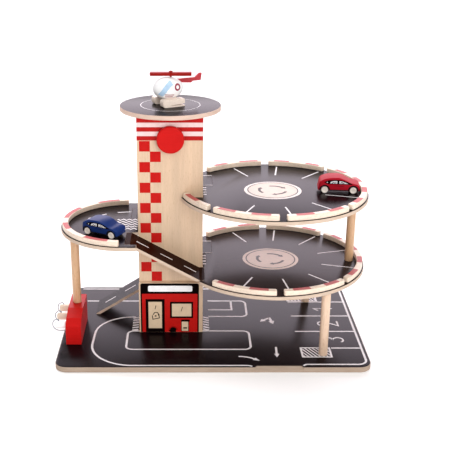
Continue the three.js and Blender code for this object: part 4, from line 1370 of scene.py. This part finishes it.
# The prints on a flank, in millimetres along the nose and up from the body's centre
WINDSCREEN = strip([(20.5, -10), (17.5, -5), (13.6, 1.5), (8.5, 7), (4, 10.4), (0, 12.2)], 8.6)
FLANK_RING = strip(circle((-10.6, 3.4), 5, 24), 3.2, True)
FLANK_LINES = strip([(-4, -10.2), (14, -8.6)], 1.5) + strip([(-2, -13.4), (12.5, -12.6)], 1.5)


def build_helicopter():
    low, high, middle = spread("heli_body")
    spin = Vector(joints["rotor_spin"]["pos_m"])
    heading, ahead, length, grid = math.radians(207), 5.5 * MM, 58 * MM, (4, 1.5 * MM)
    radius = (high.z - low.z) / 2
    forward = Vector((math.cos(heading), math.sin(heading), 0))
    side = Vector((-forward.y, forward.x, 0))
    centre = Vector((spin.x, spin.y, middle.z)) + forward * ahead
    outline = [(out * radius, along * length) for along, out in HELICOPTER_SHARES]
    egg = lathe("heli_body_turned", outline, centre, -forward, WHITE, "helicopter", steps=72, smooth=60)
    tree = tree_of(egg)
    stand_in("heli_body", "white_paint")
    for word, out in (("left", side), ("right", -side)):
        flank = (centre, forward, out)
        for part, shapes, finish, slot in (
            ("windscreen", WINDSCREEN, SKY_INK, "blue_paint"),
            ("ring", FLANK_RING, PLUM_INK, "red_paint"),
            ("lines", FLANK_LINES, PLUM_INK, "red_paint"),
        ):
            piece = laid(f"heli_{word}_{part}", in_mm(shapes), tree, flank, grid, INK, finish, slot)
            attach(piece, "helicopter")
    for node, finish, edge in (
        ("heli_tail", TAIL_RED, 0.4 * MM),
        ("heli_skid_left", SKID_WOOD, 0.4 * MM),
        ("heli_skid_right", SKID_WOOD, 0.4 * MM),
        ("heli_rotor_pin", ROTOR_RED, 0.25 * MM),
        ("heli_rotor", ROTOR_RED, 0.5 * MM),
    ):
        dress(node, finish, edge)


# The whole toy

make_camera()
make_world()
for light_values in LIGHTS:
    make_light(*light_values)
make_floor()

build_base()
build_tower()
build_round_deck("lower_deck", "ramp_base_to_lower", LOWER_BOARD_PAINTED_REFLECTION, PAD_INK, first_kerb=1)
build_round_deck("upper_deck", "ramp_left_to_upper", BOARD, RIM_INK, first_kerb=0)
build_left_deck()
build_ramps()
build_posts()
build_pump()
build_lift()
build_car("red_car", CAR_RED, "red_paint")
build_car("blue_car", CAR_BLUE, "blue_paint")
build_helicopter()

bpy.context.scene.view_settings.view_transform = "Standard"
